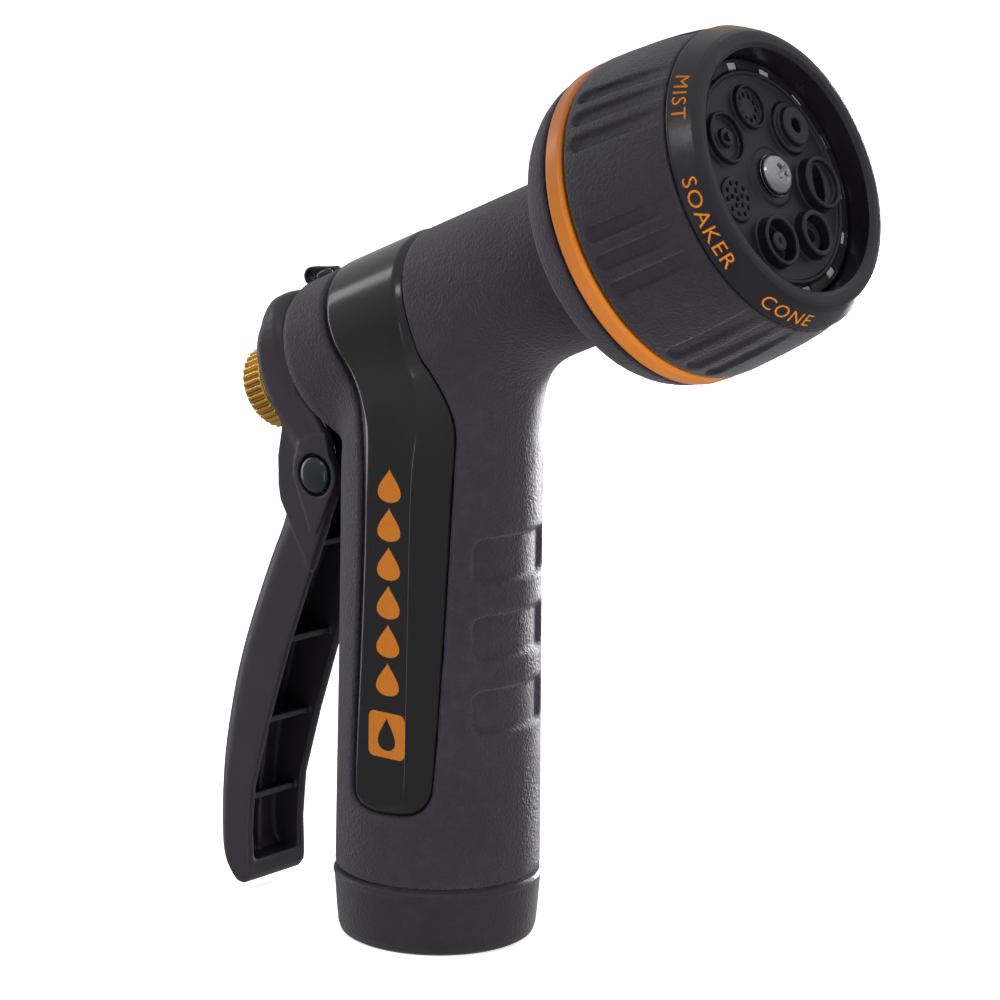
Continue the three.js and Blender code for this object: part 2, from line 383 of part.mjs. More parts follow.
// turret
{
  const hole = (r, s0, s1, k, pcr = OUTLET_PCR, seg = 12) => {
    const [y, h] = toBarrelPoint(patternAngle(k), pcr);
    const g = rodX(r, s0, s1, seg); g.translate(0, y, h); return solid(g);
  };
  let core = solid(latheX([[50.0, 0], [50.0, 24.2], [70.8, 24.2], [70.8, 0]], SEG));
  core = core.subtract(solid(rodX(5.3, 49, 60.4, 24))).subtract(solid(rodX(2.1, 60, 72, 16)));
  for (let k = 0; k < PATTERNS; k++) core = core.subtract(hole(3.4, 49, 72, k));
  for (let k = 0; k < PATTERNS; k++) {
    const [y, h] = toBarrelPoint(-90 + (360 / PATTERNS) * k, 20);
    const g = rodX(1.2, 49, 50.5, 6); g.translate(0, y, h); core = core.subtract(solid(g));
  }
  add(barrel, 'drum_core', geometryOf(core), acetal());
  add(barrel, 'accent_ring', latheX([[RING_S0, 24.6], [RING_S0, 27.5], [RING_S0 + 0.4, 27.85], [RING_S1 - 0.4, 28.3], [RING_S1, 28.0], [RING_S1, 24.6]], SEG, true), orange());
  // grip: tapered sleeve with seven groups of three axial grooves
  let grip = solid(latheX([[GRIP_S0, 24.6], [GRIP_S0, 28.2], [60, 28.0], [67, 27.35], [GRIP_S1, 26.3], [GRIP_S1, 24.6]], 28, true));
  for (let k = 0; k < PATTERNS; k++) for (const d of [-10.4, 0, 10.4]) {
    const an = patternAngle(k) + d;
    const g = box(-9.6, 9.6, -1.25, 1.25, -0.9, 1.5);
    g.rotateY(rad(2.6));                          // follows the taper
    const m = new THREE.Matrix4().makeRotationX(-rad(an - 90)).multiply(new THREE.Matrix4().makeTranslation(65.6, 0, 27.3));
    g.applyMatrix4(m);
    grip = grip.subtract(solid(g));
  }
  add(barrel, 'drum_grip', geometryOf(grip), softRubber());
  add(barrel, 'front_bezel', latheX([
    [71.1, 20.7], [71.1, 24.2], [74.1, 24.2], [74.1, 26.4], [78.0, 24.3], [FACE_S - 0.15, 23.5], [FACE_S, 22.8], [FACE_S, 21.6], [78.3, 20.8],
  ], SEG, true), blackNylon());
  // recessed face: outlets on one pitch circle, fine holes of the shower group, slots round the rim
  let face = solid(latheX([[71.1, 0], [71.1, 20.4], [74.2, 20.4], [74.2, 0]], SEG));
  const tube = (k, ro, s1) => hole(ro, 73, s1, k, OUTLET_PCR, 14);
  const radii = [3.6, 4.1, 3.7, 4.3, 4.9, 4.2, 3.9];
  const tops = [75.4, 76.2, 75.6, 76.3, 75.4, 76.3, 75.6];
  for (let k = 0; k < PATTERNS; k++) face = face.add(tube(k, radii[k], tops[k]));
  for (let k = 0; k < PATTERNS; k++) if (![0].includes(k)) face = face.subtract(hole(radii[k] - 1.2, 70, 78, k, OUTLET_PCR, 10));
  for (let i = 0; i < 7; i++) {                  // pattern 0: cluster of fine holes
    const [y0, h0] = toBarrelPoint(patternAngle(0), OUTLET_PCR);
    const rr = i ? 2.0 : 0, aa = (i * Math.PI) / 3;
    const g = rodX(0.5, 70, 78, 6); g.translate(0, y0 + rr * Math.cos(aa), h0 + rr * Math.sin(aa)); face = face.subtract(solid(g));
  }
  for (let i = 0; i < 14; i++) {
    const g = box(70, 76, -1.2, 1.2, 18.3, 19.5);
    g.applyMatrix4(new THREE.Matrix4().makeRotationX((i * 2 * Math.PI) / 14));
    face = face.subtract(solid(g));
  }
  face = face.add(solid(latheX([[74.0, 0], [74.0, 4.4], [74.7, 4.2], [74.7, 0]], 24))).subtract(solid(rodX(2.1, 70, 78, 16)));
  add(barrel, 'pattern_disc', geometryOf(face), blackNylon());
  // cores pressed into four of the outlets
  const insert = (name, k, pts, seg = 18) => {
    const [y, h] = toBarrelPoint(patternAngle(k), OUTLET_PCR);
    add(barrel, name, latheX(pts, seg), acetal(), [0, y, h]);
  };
  insert('cone_insert', 6, [[71.2, 0], [71.2, 2.3], [73.4, 2.3], [73.9, 1.5], [75.4, 1.2], [75.4, 0]]);
  insert('mist_insert', 1, [[71.2, 0], [71.2, 2.5], [73.0, 2.5], [74.2, 1.0], [75.8, 0.7], [75.8, 0]]);
  {
    const [y, h] = toBarrelPoint(patternAngle(5), OUTLET_PCR);
    add(barrel, 'jet_insert', latheX([[71.2, 0.9], [71.2, 2.6], [74.6, 2.6], [74.6, 1.2]], 18, true), brass(), [0, y, h]);
  }
}
add(barrel, 'center_screw', latheX([
  [52.0, 0], [52.0, 1.2], [52.6, 1.7], [75.4, 1.7], [75.4, 3.5], [75.9, 3.6], [76.6, 3.1], [77.0, 2.2], [77.2, 1.0], [77.2, 0],
], 18), steel());
add(barrel, 'screw_washer', ring(74.95, 75.15, 2.0, 4.0, 18), steel());

export default nozzle;
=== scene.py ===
import json
import math
import bpy
import numpy as np
from mathutils import Matrix, Vector

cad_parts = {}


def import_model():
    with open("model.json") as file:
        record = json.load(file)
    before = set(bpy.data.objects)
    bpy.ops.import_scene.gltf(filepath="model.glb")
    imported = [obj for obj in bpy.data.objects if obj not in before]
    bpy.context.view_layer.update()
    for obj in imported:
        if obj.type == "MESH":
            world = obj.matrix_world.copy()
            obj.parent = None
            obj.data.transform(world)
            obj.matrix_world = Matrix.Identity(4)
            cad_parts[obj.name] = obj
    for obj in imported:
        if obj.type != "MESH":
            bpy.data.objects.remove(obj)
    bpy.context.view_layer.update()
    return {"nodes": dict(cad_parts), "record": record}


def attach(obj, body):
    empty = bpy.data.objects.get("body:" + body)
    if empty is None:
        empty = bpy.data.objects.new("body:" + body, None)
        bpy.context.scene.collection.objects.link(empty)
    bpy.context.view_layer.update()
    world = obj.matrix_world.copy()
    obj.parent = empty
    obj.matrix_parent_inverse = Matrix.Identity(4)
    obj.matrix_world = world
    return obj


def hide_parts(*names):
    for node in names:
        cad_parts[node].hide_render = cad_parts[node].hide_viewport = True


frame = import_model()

MM = 0.001
scene = bpy.context.scene

# ------------------------------------------------------------------ shared frame (millimetres)
TH = math.radians(23.29)
CT, ST = math.cos(TH), math.sin(TH)
ZC = 112.43
PIN = (-22.3, 82.2)
PATTERNS = 7
PHASE = -14.5
PCR = 12.0


def s_h(x, z):
    """Barrel coordinates: s along the spray, h above its axis."""
    return x * CT + (z - ZC) * ST, -x * ST + (z - ZC) * CT


def world(s, y, h):
    """Barrel coordinates back to the object frame, arrays or numbers."""
    return np.stack(np.broadcast_arrays(s * CT - h * ST, y, ZC + s * ST + h * CT), -1)


# ------------------------------------------------------------------ implicit shapes
def poly2(px, pz, pts):
    """Signed distance to a closed polygon, negative inside."""
    pts = np.asarray(pts, np.float32)
    d = np.full(px.shape, 1e9, np.float32)
    sgn = np.ones(px.shape, np.float32)
    n = len(pts)
    j = n - 1
    for i in range(n):
        ax, az = pts[i]
        bx, bz = pts[j]
        ex, ez = bx - ax, bz - az
        wx, wz = px - ax, pz - az
        t = np.clip((wx * ex + wz * ez) / max(ex * ex + ez * ez, 1e-9), 0, 1)
        qx, qz = wx - ex * t, wz - ez * t
        d = np.minimum(d, qx * qx + qz * qz)
        c1 = pz >= az
        c2 = pz < bz
        c3 = ex * wz > ez * wx
        flip = (c1 & c2 & c3) | (~c1 & ~c2 & ~c3)
        sgn = np.where(flip, -sgn, sgn)
        j = i
    return sgn * np.sqrt(d)


def smin(a, b, k):
    h = np.clip(0.5 + 0.5 * (b - a) / k, 0, 1)
    return b + (a - b) * h - k * h * (1 - h)


def smax(a, b, k):
    return -smin(-a, -b, k)


def ramp(v, a, b):
    t = np.clip((v - a) / (b - a), 0, 1)
    return t * t * (3 - 2 * t)


def spline(pts, n=8, closed=True):
    """Catmull-Rom through 2-D points."""
    P = np.asarray(pts, float)
    m = len(P)
    out = []
    for i in range(m if closed else m - 1):
        p0, p1, p2, p3 = (P[(i + k - 1) % m] if closed else P[min(max(i + k - 1, 0), m - 1)] for k in range(4))
        for t in np.linspace(0, 1, n, endpoint=False):
            out.append(0.5 * ((2 * p1) + (-p0 + p2) * t + (2 * p0 - 5 * p1 + 4 * p2 - p3) * t * t + (-p0 + 3 * p1 - 3 * p2 + p3) * t ** 3))
    if not closed:
        out.append(P[-1])
    return np.array(out)


def W2(s, h):
    return (s * CT - h * ST, ZC + s * ST + h * CT)


WINDOW = [W2(4.0, 24), W2(4.0, 12), W2(4.0, 3.5), (5.7, 108.0), (8.6, 104.4), (11.0, 100.2), (12.3, 95.5), (12.5, 90), (12.2, 78), (11.7, 60), (11.1, 44), (10.6, 32.5),
          (9.9, 28.4), (7.6, 26.0), (3.0, 25.3), (-1.8, 25.6), (-4.5, 26.8), (-5.6, 29.8), (-5.4, 40), (-4.7, 56), (-4.1, 76), (-4.3, 88), (-6.0, 95.4), (-9.6, 101.4),
          W2(-14.5, -0.8), W2(-15.5, 7), W2(-16.0, 14), W2(-16.2, 24)]
WINDOW = spline(WINDOW, 4)


def skin_sdf(p):
    """Outside of the rubber skin: handle, barrel and bell blended together."""
    x, y, z = p
    r = np.sqrt(x * x + y * y)
    s, h = s_h(x, z)
    rho = np.sqrt(y * y + h * h)
    # handle: slightly tapered tube that rounds over smoothly into the barrel
    r0 = 18.0 + 0.6 * (1 - ramp(z, 0, 80))
    t = np.clip((z - 74) / 38.5, 0, None)
    g = np.sqrt((r / r0) ** 2 + t ** 4.3)
    gs = np.maximum(g, 1e-6)
    slope = np.sqrt((r / (r0 * r0 * gs)) ** 2 + (2.15 * t ** 3.3 / (38.5 * gs)) ** 2)
    handle = (g - 1) / np.maximum(slope, 0.5 / r0)
    barrel = poly2(rho, s, [(-30, -27.4), (11.6, -27.4), (13.2, -27.1), (14.4, -26.1), (14.95, -24.6), (15.0, -22), (15.0, 30), (15.1, 60), (-30, 60)])
    body = smin(handle, barrel, 5.0 + 8.5 * ramp(x, 1, 15))
    bell = poly2(rho, s, [(-30, 39.3), (15, 39.4), (18.6, 39.9), (21.2, 40.8), (23.6, 42.2), (25.4, 43.9), (26.6, 45.7), (27.35, 47.5), (27.68, 49.2), (27.7, 70), (-30, 70)])
    return smin(body, bell, 2.6)


def rubber_sdf(p):
    x, y, z = p
    base = skin_sdf(p)
    rec = np.zeros_like(base)
    s, h = s_h(x, z)
    # three finger recesses on the front of the handle
    ang = np.degrees(np.arctan2(y, x))
    for zc in (71.6, 57.8, 44.4):
        du = np.maximum(np.abs(ang) * 0.315 - 7.4, 0)
        dv = np.maximum(np.abs(z - zc) - 2.1, 0)
        slot = np.sqrt(du * du * 0.42 + dv * dv) - 1.95
        rec = rec + 1.05 * (1 - ramp(slot, -0.55, 0.45)) * (x > 0)
    f = np.maximum(base + rec, -(base + 2.15 + rec))
    win = poly2(x, z, WINDOW)
    f = smax(f, -win, 1.0)
    f = smax(f, 12.5 - z, 0.9)
    f = smax(f, s - 49.3, 0.6)
    f = np.maximum(f, -np.maximum(np.maximum(np.abs(y) - 6.2, np.abs(z - PIN[1]) - 4.9), x + 10))
    f = smax(f, -np.maximum(np.maximum(np.abs(y) - 3.7, -(h - 10)), np.maximum(-24.2 - s, s + 19.4)), 0.4)
    f = smax(f, -np.maximum(np.maximum(np.abs(y) - 1.7, 13.7 - h), np.maximum(-29 - s, s + 23)), 0.4)
    return f


def casting_sdf(p, panel=False):
    x, y, z = p
    r = np.sqrt(x * x + y * y)
    s, h = s_h(x, z)
    rho = np.sqrt(y * y + h * h)
    tube = poly2(r, z, [(-30, 0.05), (15.5, 0.05), (15.95, 0.5), (15.95, 90), (14.8, 96), (12.0, 101.5), (8, 106), (-30, 108)])
    brl = poly2(rho, s, [(-30, -27.15), (12.3, -27.15), (12.85, -26.6), (12.85, 37.0), (14.2, 40.7), (19.9, 42.7), (23.2, 43.9), (24.9, 45.8), (25.2, 48.85), (-30, 48.85)])
    f = smin(tube, brl, 3.0)
    if not panel:
        return casting_rest(p, f)
    # gloss window: raised panel on each side, band over the barrel
    o = skin_sdf(p)
    win = -poly2(x, z, WINDOW)
    g = -0.75 + 0.66 * np.maximum(win, 0)
    cap = 2.2 + (0.3 - 2.2) * ramp(z, 86, 115)
    top = smax(o - g, o - cap, 0.22)
    top = smax(top, np.abs(y) - 18.5, 0.28 + 1.6 * ramp(z, 80, 98))
    pad = smax(top, 0.12 - win, 0.3)
    pad = np.maximum(pad, -(o + 3.0))
    return pad


def casting_rest(p, f):
    x, y, z = p
    r = np.sqrt(x * x + y * y)
    s, h = s_h(x, z)
    rho = np.sqrt(y * y + h * h)
    # pivot lug and latch posts
    lug = np.maximum(np.minimum(np.sqrt((x - PIN[0]) ** 2 + (z - PIN[1]) ** 2) - 4.5, np.maximum(np.abs(z - PIN[1]) - 4.5, np.maximum(PIN[0] - x, x + 13))), np.abs(y) - 5.9)
    f = np.minimum(f, lug)
    post = np.maximum(np.maximum(np.abs(np.abs(y) - 2.4) - 0.8, np.maximum(11 - h, h - 15.7)), np.maximum(-23.4 - s, s + 20.2))
    f = np.minimum(f, post)
    # socket with its hose thread
    a = np.arctan2(y, x) / (2 * np.pi)
    ph = (z / 2.209 - a) % 1.0
    cut = 13.05 + 0.75 * np.clip(1 - np.abs(ph - 0.5) * 3.0, 0, 1) * ramp(z, 0.6, 1.6) * (1 - ramp(z, 9.6, 10.8))
    cut = cut + np.clip(1.2 - z, 0, 1.2) * 0.6
    sock = np.maximum(r - cut, z - 14.5) * 0.8
    f = np.maximum(f, -sock)
    f = np.maximum(f, -np.maximum(r - 9.0, z - 106))
    bore = poly2(rho, s, [(-30, -40), (7.9, -40), (7.3, -26.4), (7.3, -19.6), (9.5, -18.4), (9.5, 44.5), (23.1, 44.5), (23.1, 60), (-30, 60)])
    f = np.maximum(f, -bore)
    f = np.maximum(f, -(np.sqrt((x - PIN[0]) ** 2 + (z - PIN[1]) ** 2) - 2.15))
    return f


LEVER_REAR = [(-30.2, 91), (-30.0, 88.0), (-30.9, 85.6), (-31.9, 82.8), (-31.8, 79.8), (-31.7, 75.6), (-33.2, 71.0), (-35.3, 66.4), (-38.6, 58.4), (-41.6, 50.4), (-44.1, 42.4), (-45.9, 34.5), (-47.3, 26.5), (-47.95, 18.6), (-48.0, 11), (-47.65, 6.8), (-46.3, 3.9), (-43.6, 2.1), (-40.6, 1.75)]
LEVER_FRONT = [(-40.2, 2.2), (-39.35, 3.3), (-39.15, 5.0), (-39.2, 6.8), (-39.4, 12), (-38.7, 20.6), (-35.1, 33.4), (-30.0, 49), (-24.7, 63)]
ARM_C = -37.9 + 22.0


def crown(h):
    return ARM_C - math.sqrt(22.0 ** 2 - h * h)


def lever_sdf(p):
    x, y, z = p
    s, h = s_h(x, z)
    ay = np.abs(y)
    g2 = poly2(x, z, list(spline(LEVER_REAR, 3, False)) + LEVER_FRONT + [(-20.6, 73.5), (-20.9, 78), (-23.5, 84), (-26, 91)])
    fr = np.interp(z, [2.7, 6.2, 12, 20.6, 33.4, 49, 63, 78], [-38.7, -39.1, -39.3, -38.7, -35.1, -30.0, -24.7, -20.9]).astype(np.float32)
    grip = smax(g2, ay - 8.0, 0.55 + 4.2 * ramp(fr - x, 2.5, 7.5))
    # crisp rim towards the handle
    ear2 = poly2(x, z, [(-31.8, 84.5), (-31.7, 79.5), (-31.2, 76.5), (-24.1, 64.2)] + [(PIN[0] + 4.9 * math.cos(a), PIN[1] + 4.9 * math.sin(a)) for a in np.radians(np.linspace(-24, 44, 8))] + [(-20.5, 89.6), (-23.1, 93.6), (-30.4, 92.6)])
    ears = smax(ear2, ay - 8.7, 0.7)
    boss2 = poly2(x, z, [(-20.0, 90.4), (-26.2, 86.9), (-27.3, 84.4), (-27.4, 81.2), (-26.1, 78.4), (-23.3, 71.6), (-21.9, 71.4), (-18.6, 78.6)] + [(PIN[0] + 4.9 * math.cos(a), PIN[1] + 4.9 * math.sin(a)) for a in np.radians(np.linspace(-30, 44, 7))])
    ears = np.minimum(ears, smax(boss2, ay - 9.3, 0.35))
    cr = [W2(crown(v), v) for v in np.linspace(10.2, -10.2, 15)]
    side = [W2(-29.4, 12.6), W2(-29.9, 14.9), W2(-31.6, 15.6), W2(-33.4, 15.55), W2(-34.6, 14.6)] + cr + [W2(-34.6, -15), W2(-34.0, -22), W2(-27.9, -17), W2(-27.9, -13), W2(-28.1, -9.2), W2(-28.6, -6.8), W2(-29.4, -4.4), W2(-28.9, -2.0), W2(-28.9, 0.5), W2(-28.7, 5.5), W2(-28.8, 9.5)]
    a2 = poly2(x, z, side)
    sh = poly2(y, h, [(-9.2, -24), (9.2, -24), (9.2, -14), (9.9, -9), (10.4, -4)] + [(10.5 * math.cos(t), 5.1 + 10.5 * math.sin(t)) for t in np.linspace(0, math.pi, 20)] + [(-10.4, -4), (-9.9, -9), (-9.2, -14)])
    rr = 2.4
    q1 = np.maximum(a2 + rr, 0)
    q2 = np.maximum(sh + rr, 0)
    arm = np.sqrt(q1 * q1 + q2 * q2) - rr + np.minimum(np.maximum(a2 + rr, sh + rr), 0)
    f = smin(smin(grip, ears, 0.7), arm, 1.6)
    # ribbed channel towards the handle
    inner = [(-28.6, 76.5), (-29.4, 73.0), (-31.0, 70.4), (-33.0, 66), (-36.3, 58), (-39.2, 50), (-41.7, 42), (-43.5, 34), (-44.9, 26), (-45.6, 18.2), (-45.7, 11), (-45.3, 7.6), (-43.8, 6.1), (-34, 6.1), (-30, 12), (-20, 40), (-12, 62), (-12, 76.5)]
    ch2 = poly2(x, z, inner)
    draft = 0.02 * np.clip(-ch2, 0, 12)
    chan = smax(ch2, ay - 6.15 - draft, 1.2)
    ribs = np.full(x.shape, 1e3, np.float32)
    for zr, top in ((65.6, -25.7), (48.2, -31.7), (33.2, -36.6), (18.6, -40.3)):
        ribs = np.minimum(ribs, np.maximum(np.abs(z - zr - (x + 38) * 0.22) - 0.62, x - top))
    spine = np.maximum(ay - 0.5, poly2(x, z, [(-60, 4), (-43.4, 4), (-43.4, 12), (-43.1, 20), (-41.1, 33), (-36.8, 48), (-31.5, 64), (-31, 66), (-60, 66)]))
    boss = np.sqrt((z - 40.5 - (x + 38) * 0.22) ** 2 + y * y) - 1.7
    boss = np.maximum(boss, x + 41.2)
    chan = smax(chan, -np.minimum(np.minimum(ribs, spine), boss), 0.35)
    f = smax(f, -chan, 0.5)
    fork = smax(poly2(x, z, [(-28.6, 73), (-10, 73), (-10, 96), (-22, 98.5), (-29.0, 92)]), ay - 6.4, 0.5)
    f = smax(f, -fork, 0.4)
    pk = poly2(x, z, [W2(-20, -20), W2(-20, 12.9), W2(-33.4, 12.9), W2(-34.7, 9.5), W2(-35.5, 4.5), W2(-35.5, -4.5), W2(-34.4, -9.5), W2(-32.2, -14), W2(-32.0, -20)])
    ps = poly2(y, h, [(-7.1, -22), (7.1, -22), (7.1, -13), (8.3, -6)] + [(8.3 * math.cos(t), 4.9 + 8.3 * math.sin(t)) for t in np.linspace(0, math.pi, 14)] + [(-8.3, -6), (-7.1, -13)])
    f = smax(f, -smax(pk, ps, 1.0), 0.5)
    slot = poly2(y, h, [(2.7 * math.cos(t), 1.9 + 2.7 * math.sin(t)) for t in np.linspace(0, math.pi, 12)] + [(2.7 * math.cos(t), -0.1 + 2.7 * math.sin(t)) for t in np.linspace(math.pi, 2 * math.pi, 12)])
    f = smax(f, -np.maximum(slot, s + 33), 0.3)
    dp = np.sqrt((x - PIN[0]) ** 2 + (z - PIN[1]) ** 2)
    f = np.maximum(f, -(dp - 2.3))
    f = smax(f, -np.maximum(dp - 3.95, 7.75 - ay), 0.35)
    return f


# ------------------------------------------------------------------ meshing of implicit shapes
def grad(f, P, e=0.04):
    out = []
    for k in range(3):
        a = P.copy(); b = P.copy()
        a[:, k] += e; b[:, k] -= e
        out.append((f(a.T) - f(b.T)) / (2 * e))
    return np.stack(out, 1)


def surface_nets(f, lo, hi, h, relax=2):
    """Closed quad mesh of f = 0 (millimetres)."""
    lo = np.array(lo, float); hi = np.array(hi, float)
    n = np.ceil((hi - lo) / h).astype(int) + 1
    ax = [(lo[k] + h * np.arange(n[k])).astype(np.float32) for k in range(3)]
    vol = np.empty(tuple(n), np.float32)
    # coarse pass marks the blocks that the surface can cross
    B = 8
    cx = [np.arange(0, n[k], B) for k in range(3)]
    CX = np.meshgrid(*[lo[k] + h * (cx[k] + B / 2) for k in range(3)], indexing="ij")
    coarse = f(tuple(c.astype(np.float32) for c in CX))
    reach = h * B * 0.87 * 1.35 + 0.6
    vol[:] = 1.0
    for i, bi in enumerate(cx[0]):
        row = np.abs(coarse[i]) < reach
        for j, bj in enumerate(cx[1]):
            ks = np.nonzero(row[j])[0]
            sgn = coarse[i, j]
            for k in range(len(cx[2])):
                if not row[j, k]:
                    vol[bi:bi + B, bj:bj + B, cx[2][k]:cx[2][k] + B] = sgn[k]
            if len(ks) == 0:
                continue
            # evaluate contiguous runs in one go
            start = ks[0]; prev = ks[0]
            runs = []
            for k in ks[1:]:
                if k != prev + 1:
                    runs.append((start, prev)); start = k
                prev = k
            runs.append((start, prev))
            for a, b in runs:
                za, zb = a * B, min((b + 1) * B, n[2])
                g = np.meshgrid(ax[0][bi:bi + B], ax[1][bj:bj + B], ax[2][za:zb], indexing="ij")
                vol[bi:bi + B, bj:bj + B, za:zb] = f(tuple(g))
    ins = vol < 0
    c = np.zeros(tuple(n - 1), np.uint8)
    for dx in (0, 1):
        for dy in (0, 1):
            for dz in (0, 1):
                c += ins[dx:n[0] - 1 + dx, dy:n[1] - 1 + dy, dz:n[2] - 1 + dz]
    act = np.argwhere((c > 0) & (c < 8))
    idx = np.full(tuple(n - 1), -1, np.int32)
    idx[act[:, 0], act[:, 1], act[:, 2]] = np.arange(len(act))
    corner = [(dx, dy, dz) for dx in (0, 1) for dy in (0, 1) for dz in (0, 1)]
    vals = np.stack([vol[act[:, 0] + d[0], act[:, 1] + d[1], act[:, 2] + d[2]] for d in corner], 1)
    acc = np.zeros((len(act), 3)); cnt = np.zeros(len(act))
    for a in range(8):
        for b in range(a + 1, 8):
            da, db = np.array(corner[a]), np.array(corner[b])
            if np.abs(da - db).sum() != 1:
                continue
            va, vb = vals[:, a], vals[:, b]
            m = (va < 0) != (vb < 0)
            t = np.where(m, va / np.where(m, va - vb, 1), 0)
            acc += np.where(m[:, None], da + (db - da) * t[:, None], 0)
            cnt += m
    P = lo + h * (act + acc / np.maximum(cnt, 1)[:, None])
    quads = []
    for k in range(3):
        u, v = (k + 1) % 3, (k + 2) % 3
        sl = [slice(0, n[d]) for d in range(3)]
        a = ins.take(range(0, n[k] - 1), axis=k)
        b = ins.take(range(1, n[k]), axis=k)
        e = np.argwhere(a != b)
        e = e[(e[:, u] > 0) & (e[:, v] > 0) & (e[:, u] < n[u] - 1) & (e[:, v] < n[v] - 1)]
        s_in = ins[e[:, 0], e[:, 1], e[:, 2]]
        def cell(du, dv):
            q = e.copy(); q[:, u] += du; q[:, v] += dv
            return idx[q[:, 0], q[:, 1], q[:, 2]]
        q = np.stack([cell(-1, -1), cell(0, -1), cell(0, 0), cell(-1, 0)], 1)
        q[~s_in] = q[~s_in][:, ::-1]
        quads.append(q)
    Q = np.concatenate(quads)
    Q = Q[(Q >= 0).all(1)]

    def project(P, it):
        for _ in range(it):
            d = f(P.T.astype(np.float32))
            g = grad(f, P.astype(np.float32))
            L = np.maximum((g * g).sum(1), 0.05)
            step = (d / L)[:, None] * g
            m = np.linalg.norm(step, axis=1, keepdims=True)
            P = P - step * np.minimum(1, 0.5 * h / np.maximum(m, 1e-9))
        return P
    P = project(P, 2)
    for _ in range(relax):
        S = np.zeros_like(P); N = np.zeros(len(P))
        for a, b in ((0, 1), (1, 2), (2, 3), (3, 0)):
            np.add.at(S, Q[:, a], P[Q[:, b]]); np.add.at(S, Q[:, b], P[Q[:, a]])
            np.add.at(N, Q[:, a], 1); np.add.at(N, Q[:, b], 1)
        P = project(P + 0.5 * (S / np.maximum(N, 1)[:, None] - P), 2)
    return P, Q


def new_mesh(name, verts_mm, faces, smooth=True):
    me = bpy.data.meshes.new(name)
    me.from_pydata((np.asarray(verts_mm) * MM).tolist(), [], [list(map(int, q)) for q in faces])
    me.update()
    if smooth:
        me.polygons.foreach_set("use_smooth", [True] * len(me.polygons))
    ob = bpy.data.objects.new(name, me)
    scene.collection.objects.link(ob)
    return ob


def implicit(name, f, lo, hi, h, relax=2):
    P, Q = surface_nets(f, lo, hi, h, relax)
    return new_mesh(name, P, Q)


# ------------------------------------------------------------------ bodies of revolution and grids
def rounded(pts, r=0.3, n=4, closed=True):
    """Rounds the corners of a 2-D outline; each point may carry its own radius as a third number."""
    P = [tuple(p) for p in pts]
    m = len(P)
    out = []
    for i in range(m):
        p = np.array(P[i][:2], float)
        rad_ = P[i][2] if len(P[i]) > 2 else r
        if not closed and i in (0, m - 1) or rad_ <= 0:
            out.append(p); continue
        a = np.array(P[i - 1][:2], float); b = np.array(P[(i + 1) % m][:2], float)
        u = a - p; v = b - p
        lu, lv = np.linalg.norm(u), np.linalg.norm(v)
        u /= lu; v /= lv
        c = float(np.clip(u @ v, -1, 1))
        ang = math.acos(c)
        if ang > math.pi - 0.03:
            out.append(p); continue
        t = min(rad_ / math.tan(ang / 2), lu * 0.48, lv * 0.48)
        rr = t * math.tan(ang / 2)
        bis = (u + v); bis /= np.linalg.norm(bis)
        ctr = p + bis * rr / math.sin(ang / 2)
        s0 = p + u * t - ctr; s1 = p + v * t - ctr
        a0 = math.atan2(s0[1], s0[0]); a1 = math.atan2(s1[1], s1[0])
        d = (a1 - a0 + math.pi) % (2 * math.pi) - math.pi
        for k in range(n + 1):
            an = a0 + d * k / n
            out.append(ctr + rr * np.array([math.cos(an), math.sin(an)]))
    return np.array(out)


def spin(name, outline, seg, y0=0.0, h0=0.0, axis="spray", smooth=True):
    """Closed outline of (s, radius) turned about the spray axis (shifted to y0, h0), or about Z."""
    O = np.asarray(outline, float)
    m = len(O)
    th = np.linspace(0, 2 * np.pi, seg, endpoint=False)
    S = O[:, 0][:, None] + 0 * th; R = O[:, 1][:, None]
    a, b = R * np.cos(th), R * np.sin(th)
    if axis == "spray":
        P = world(S, a + y0, b + h0)
    else:
        P = np.stack([a, b, S], -1)
    verts, faces, index = [], [], np.full((m, seg), -1)
    for i in range(m):
        if O[i, 1] < 1e-6:
            index[i, :] = len(verts); verts.append(P[i, 0])
        else:
            for j in range(seg):
                index[i, j] = len(verts); verts.append(P[i, j])
    closed = O[0, 1] > 1e-6 or O[-1, 1] > 1e-6
    for i in range(m if closed else m - 1):
        i2 = (i + 1) % m
        for j in range(seg):
            j2 = (j + 1) % seg
            q = [index[i, j], index[i, j2], index[i2, j2], index[i2, j]]
            q = [v for k, v in enumerate(q) if v != q[k - 1]]
            if len(q) >= 3:
                faces.append(q)
    ob = new_mesh(name, np.array(verts), faces, smooth)
    fix_normals(ob)
    return ob


def fix_normals(ob):
    import bmesh
    bm = bmesh.new(); bm.from_mesh(ob.data)
    bmesh.ops.recalc_face_normals(bm, faces=bm.faces)
    bm.to_mesh(ob.data); bm.free()
    return ob


def auto_sharp(ob, deg=35):
    """Marks creases sharper than deg so that flat faces shade flat."""
    me = ob.data
    import bmesh
    bm = bmesh.new(); bm.from_mesh(me)
    for e in bm.edges:
        if len(e.link_faces) == 2:
            e.smooth = e.calc_face_angle(0) < math.radians(deg)
    bm.to_mesh(me); bm.free()
    return ob


def polar_disc(y, h):
    """Radius and head angle, in degrees from the -Y side upwards."""
    return np.sqrt(y * y + h * h), np.degrees(np.arctan2(h, -y))


def station(k):
    a = math.radians(PHASE + 360.0 / PATTERNS * k)
    return -math.cos(a), math.sin(a)


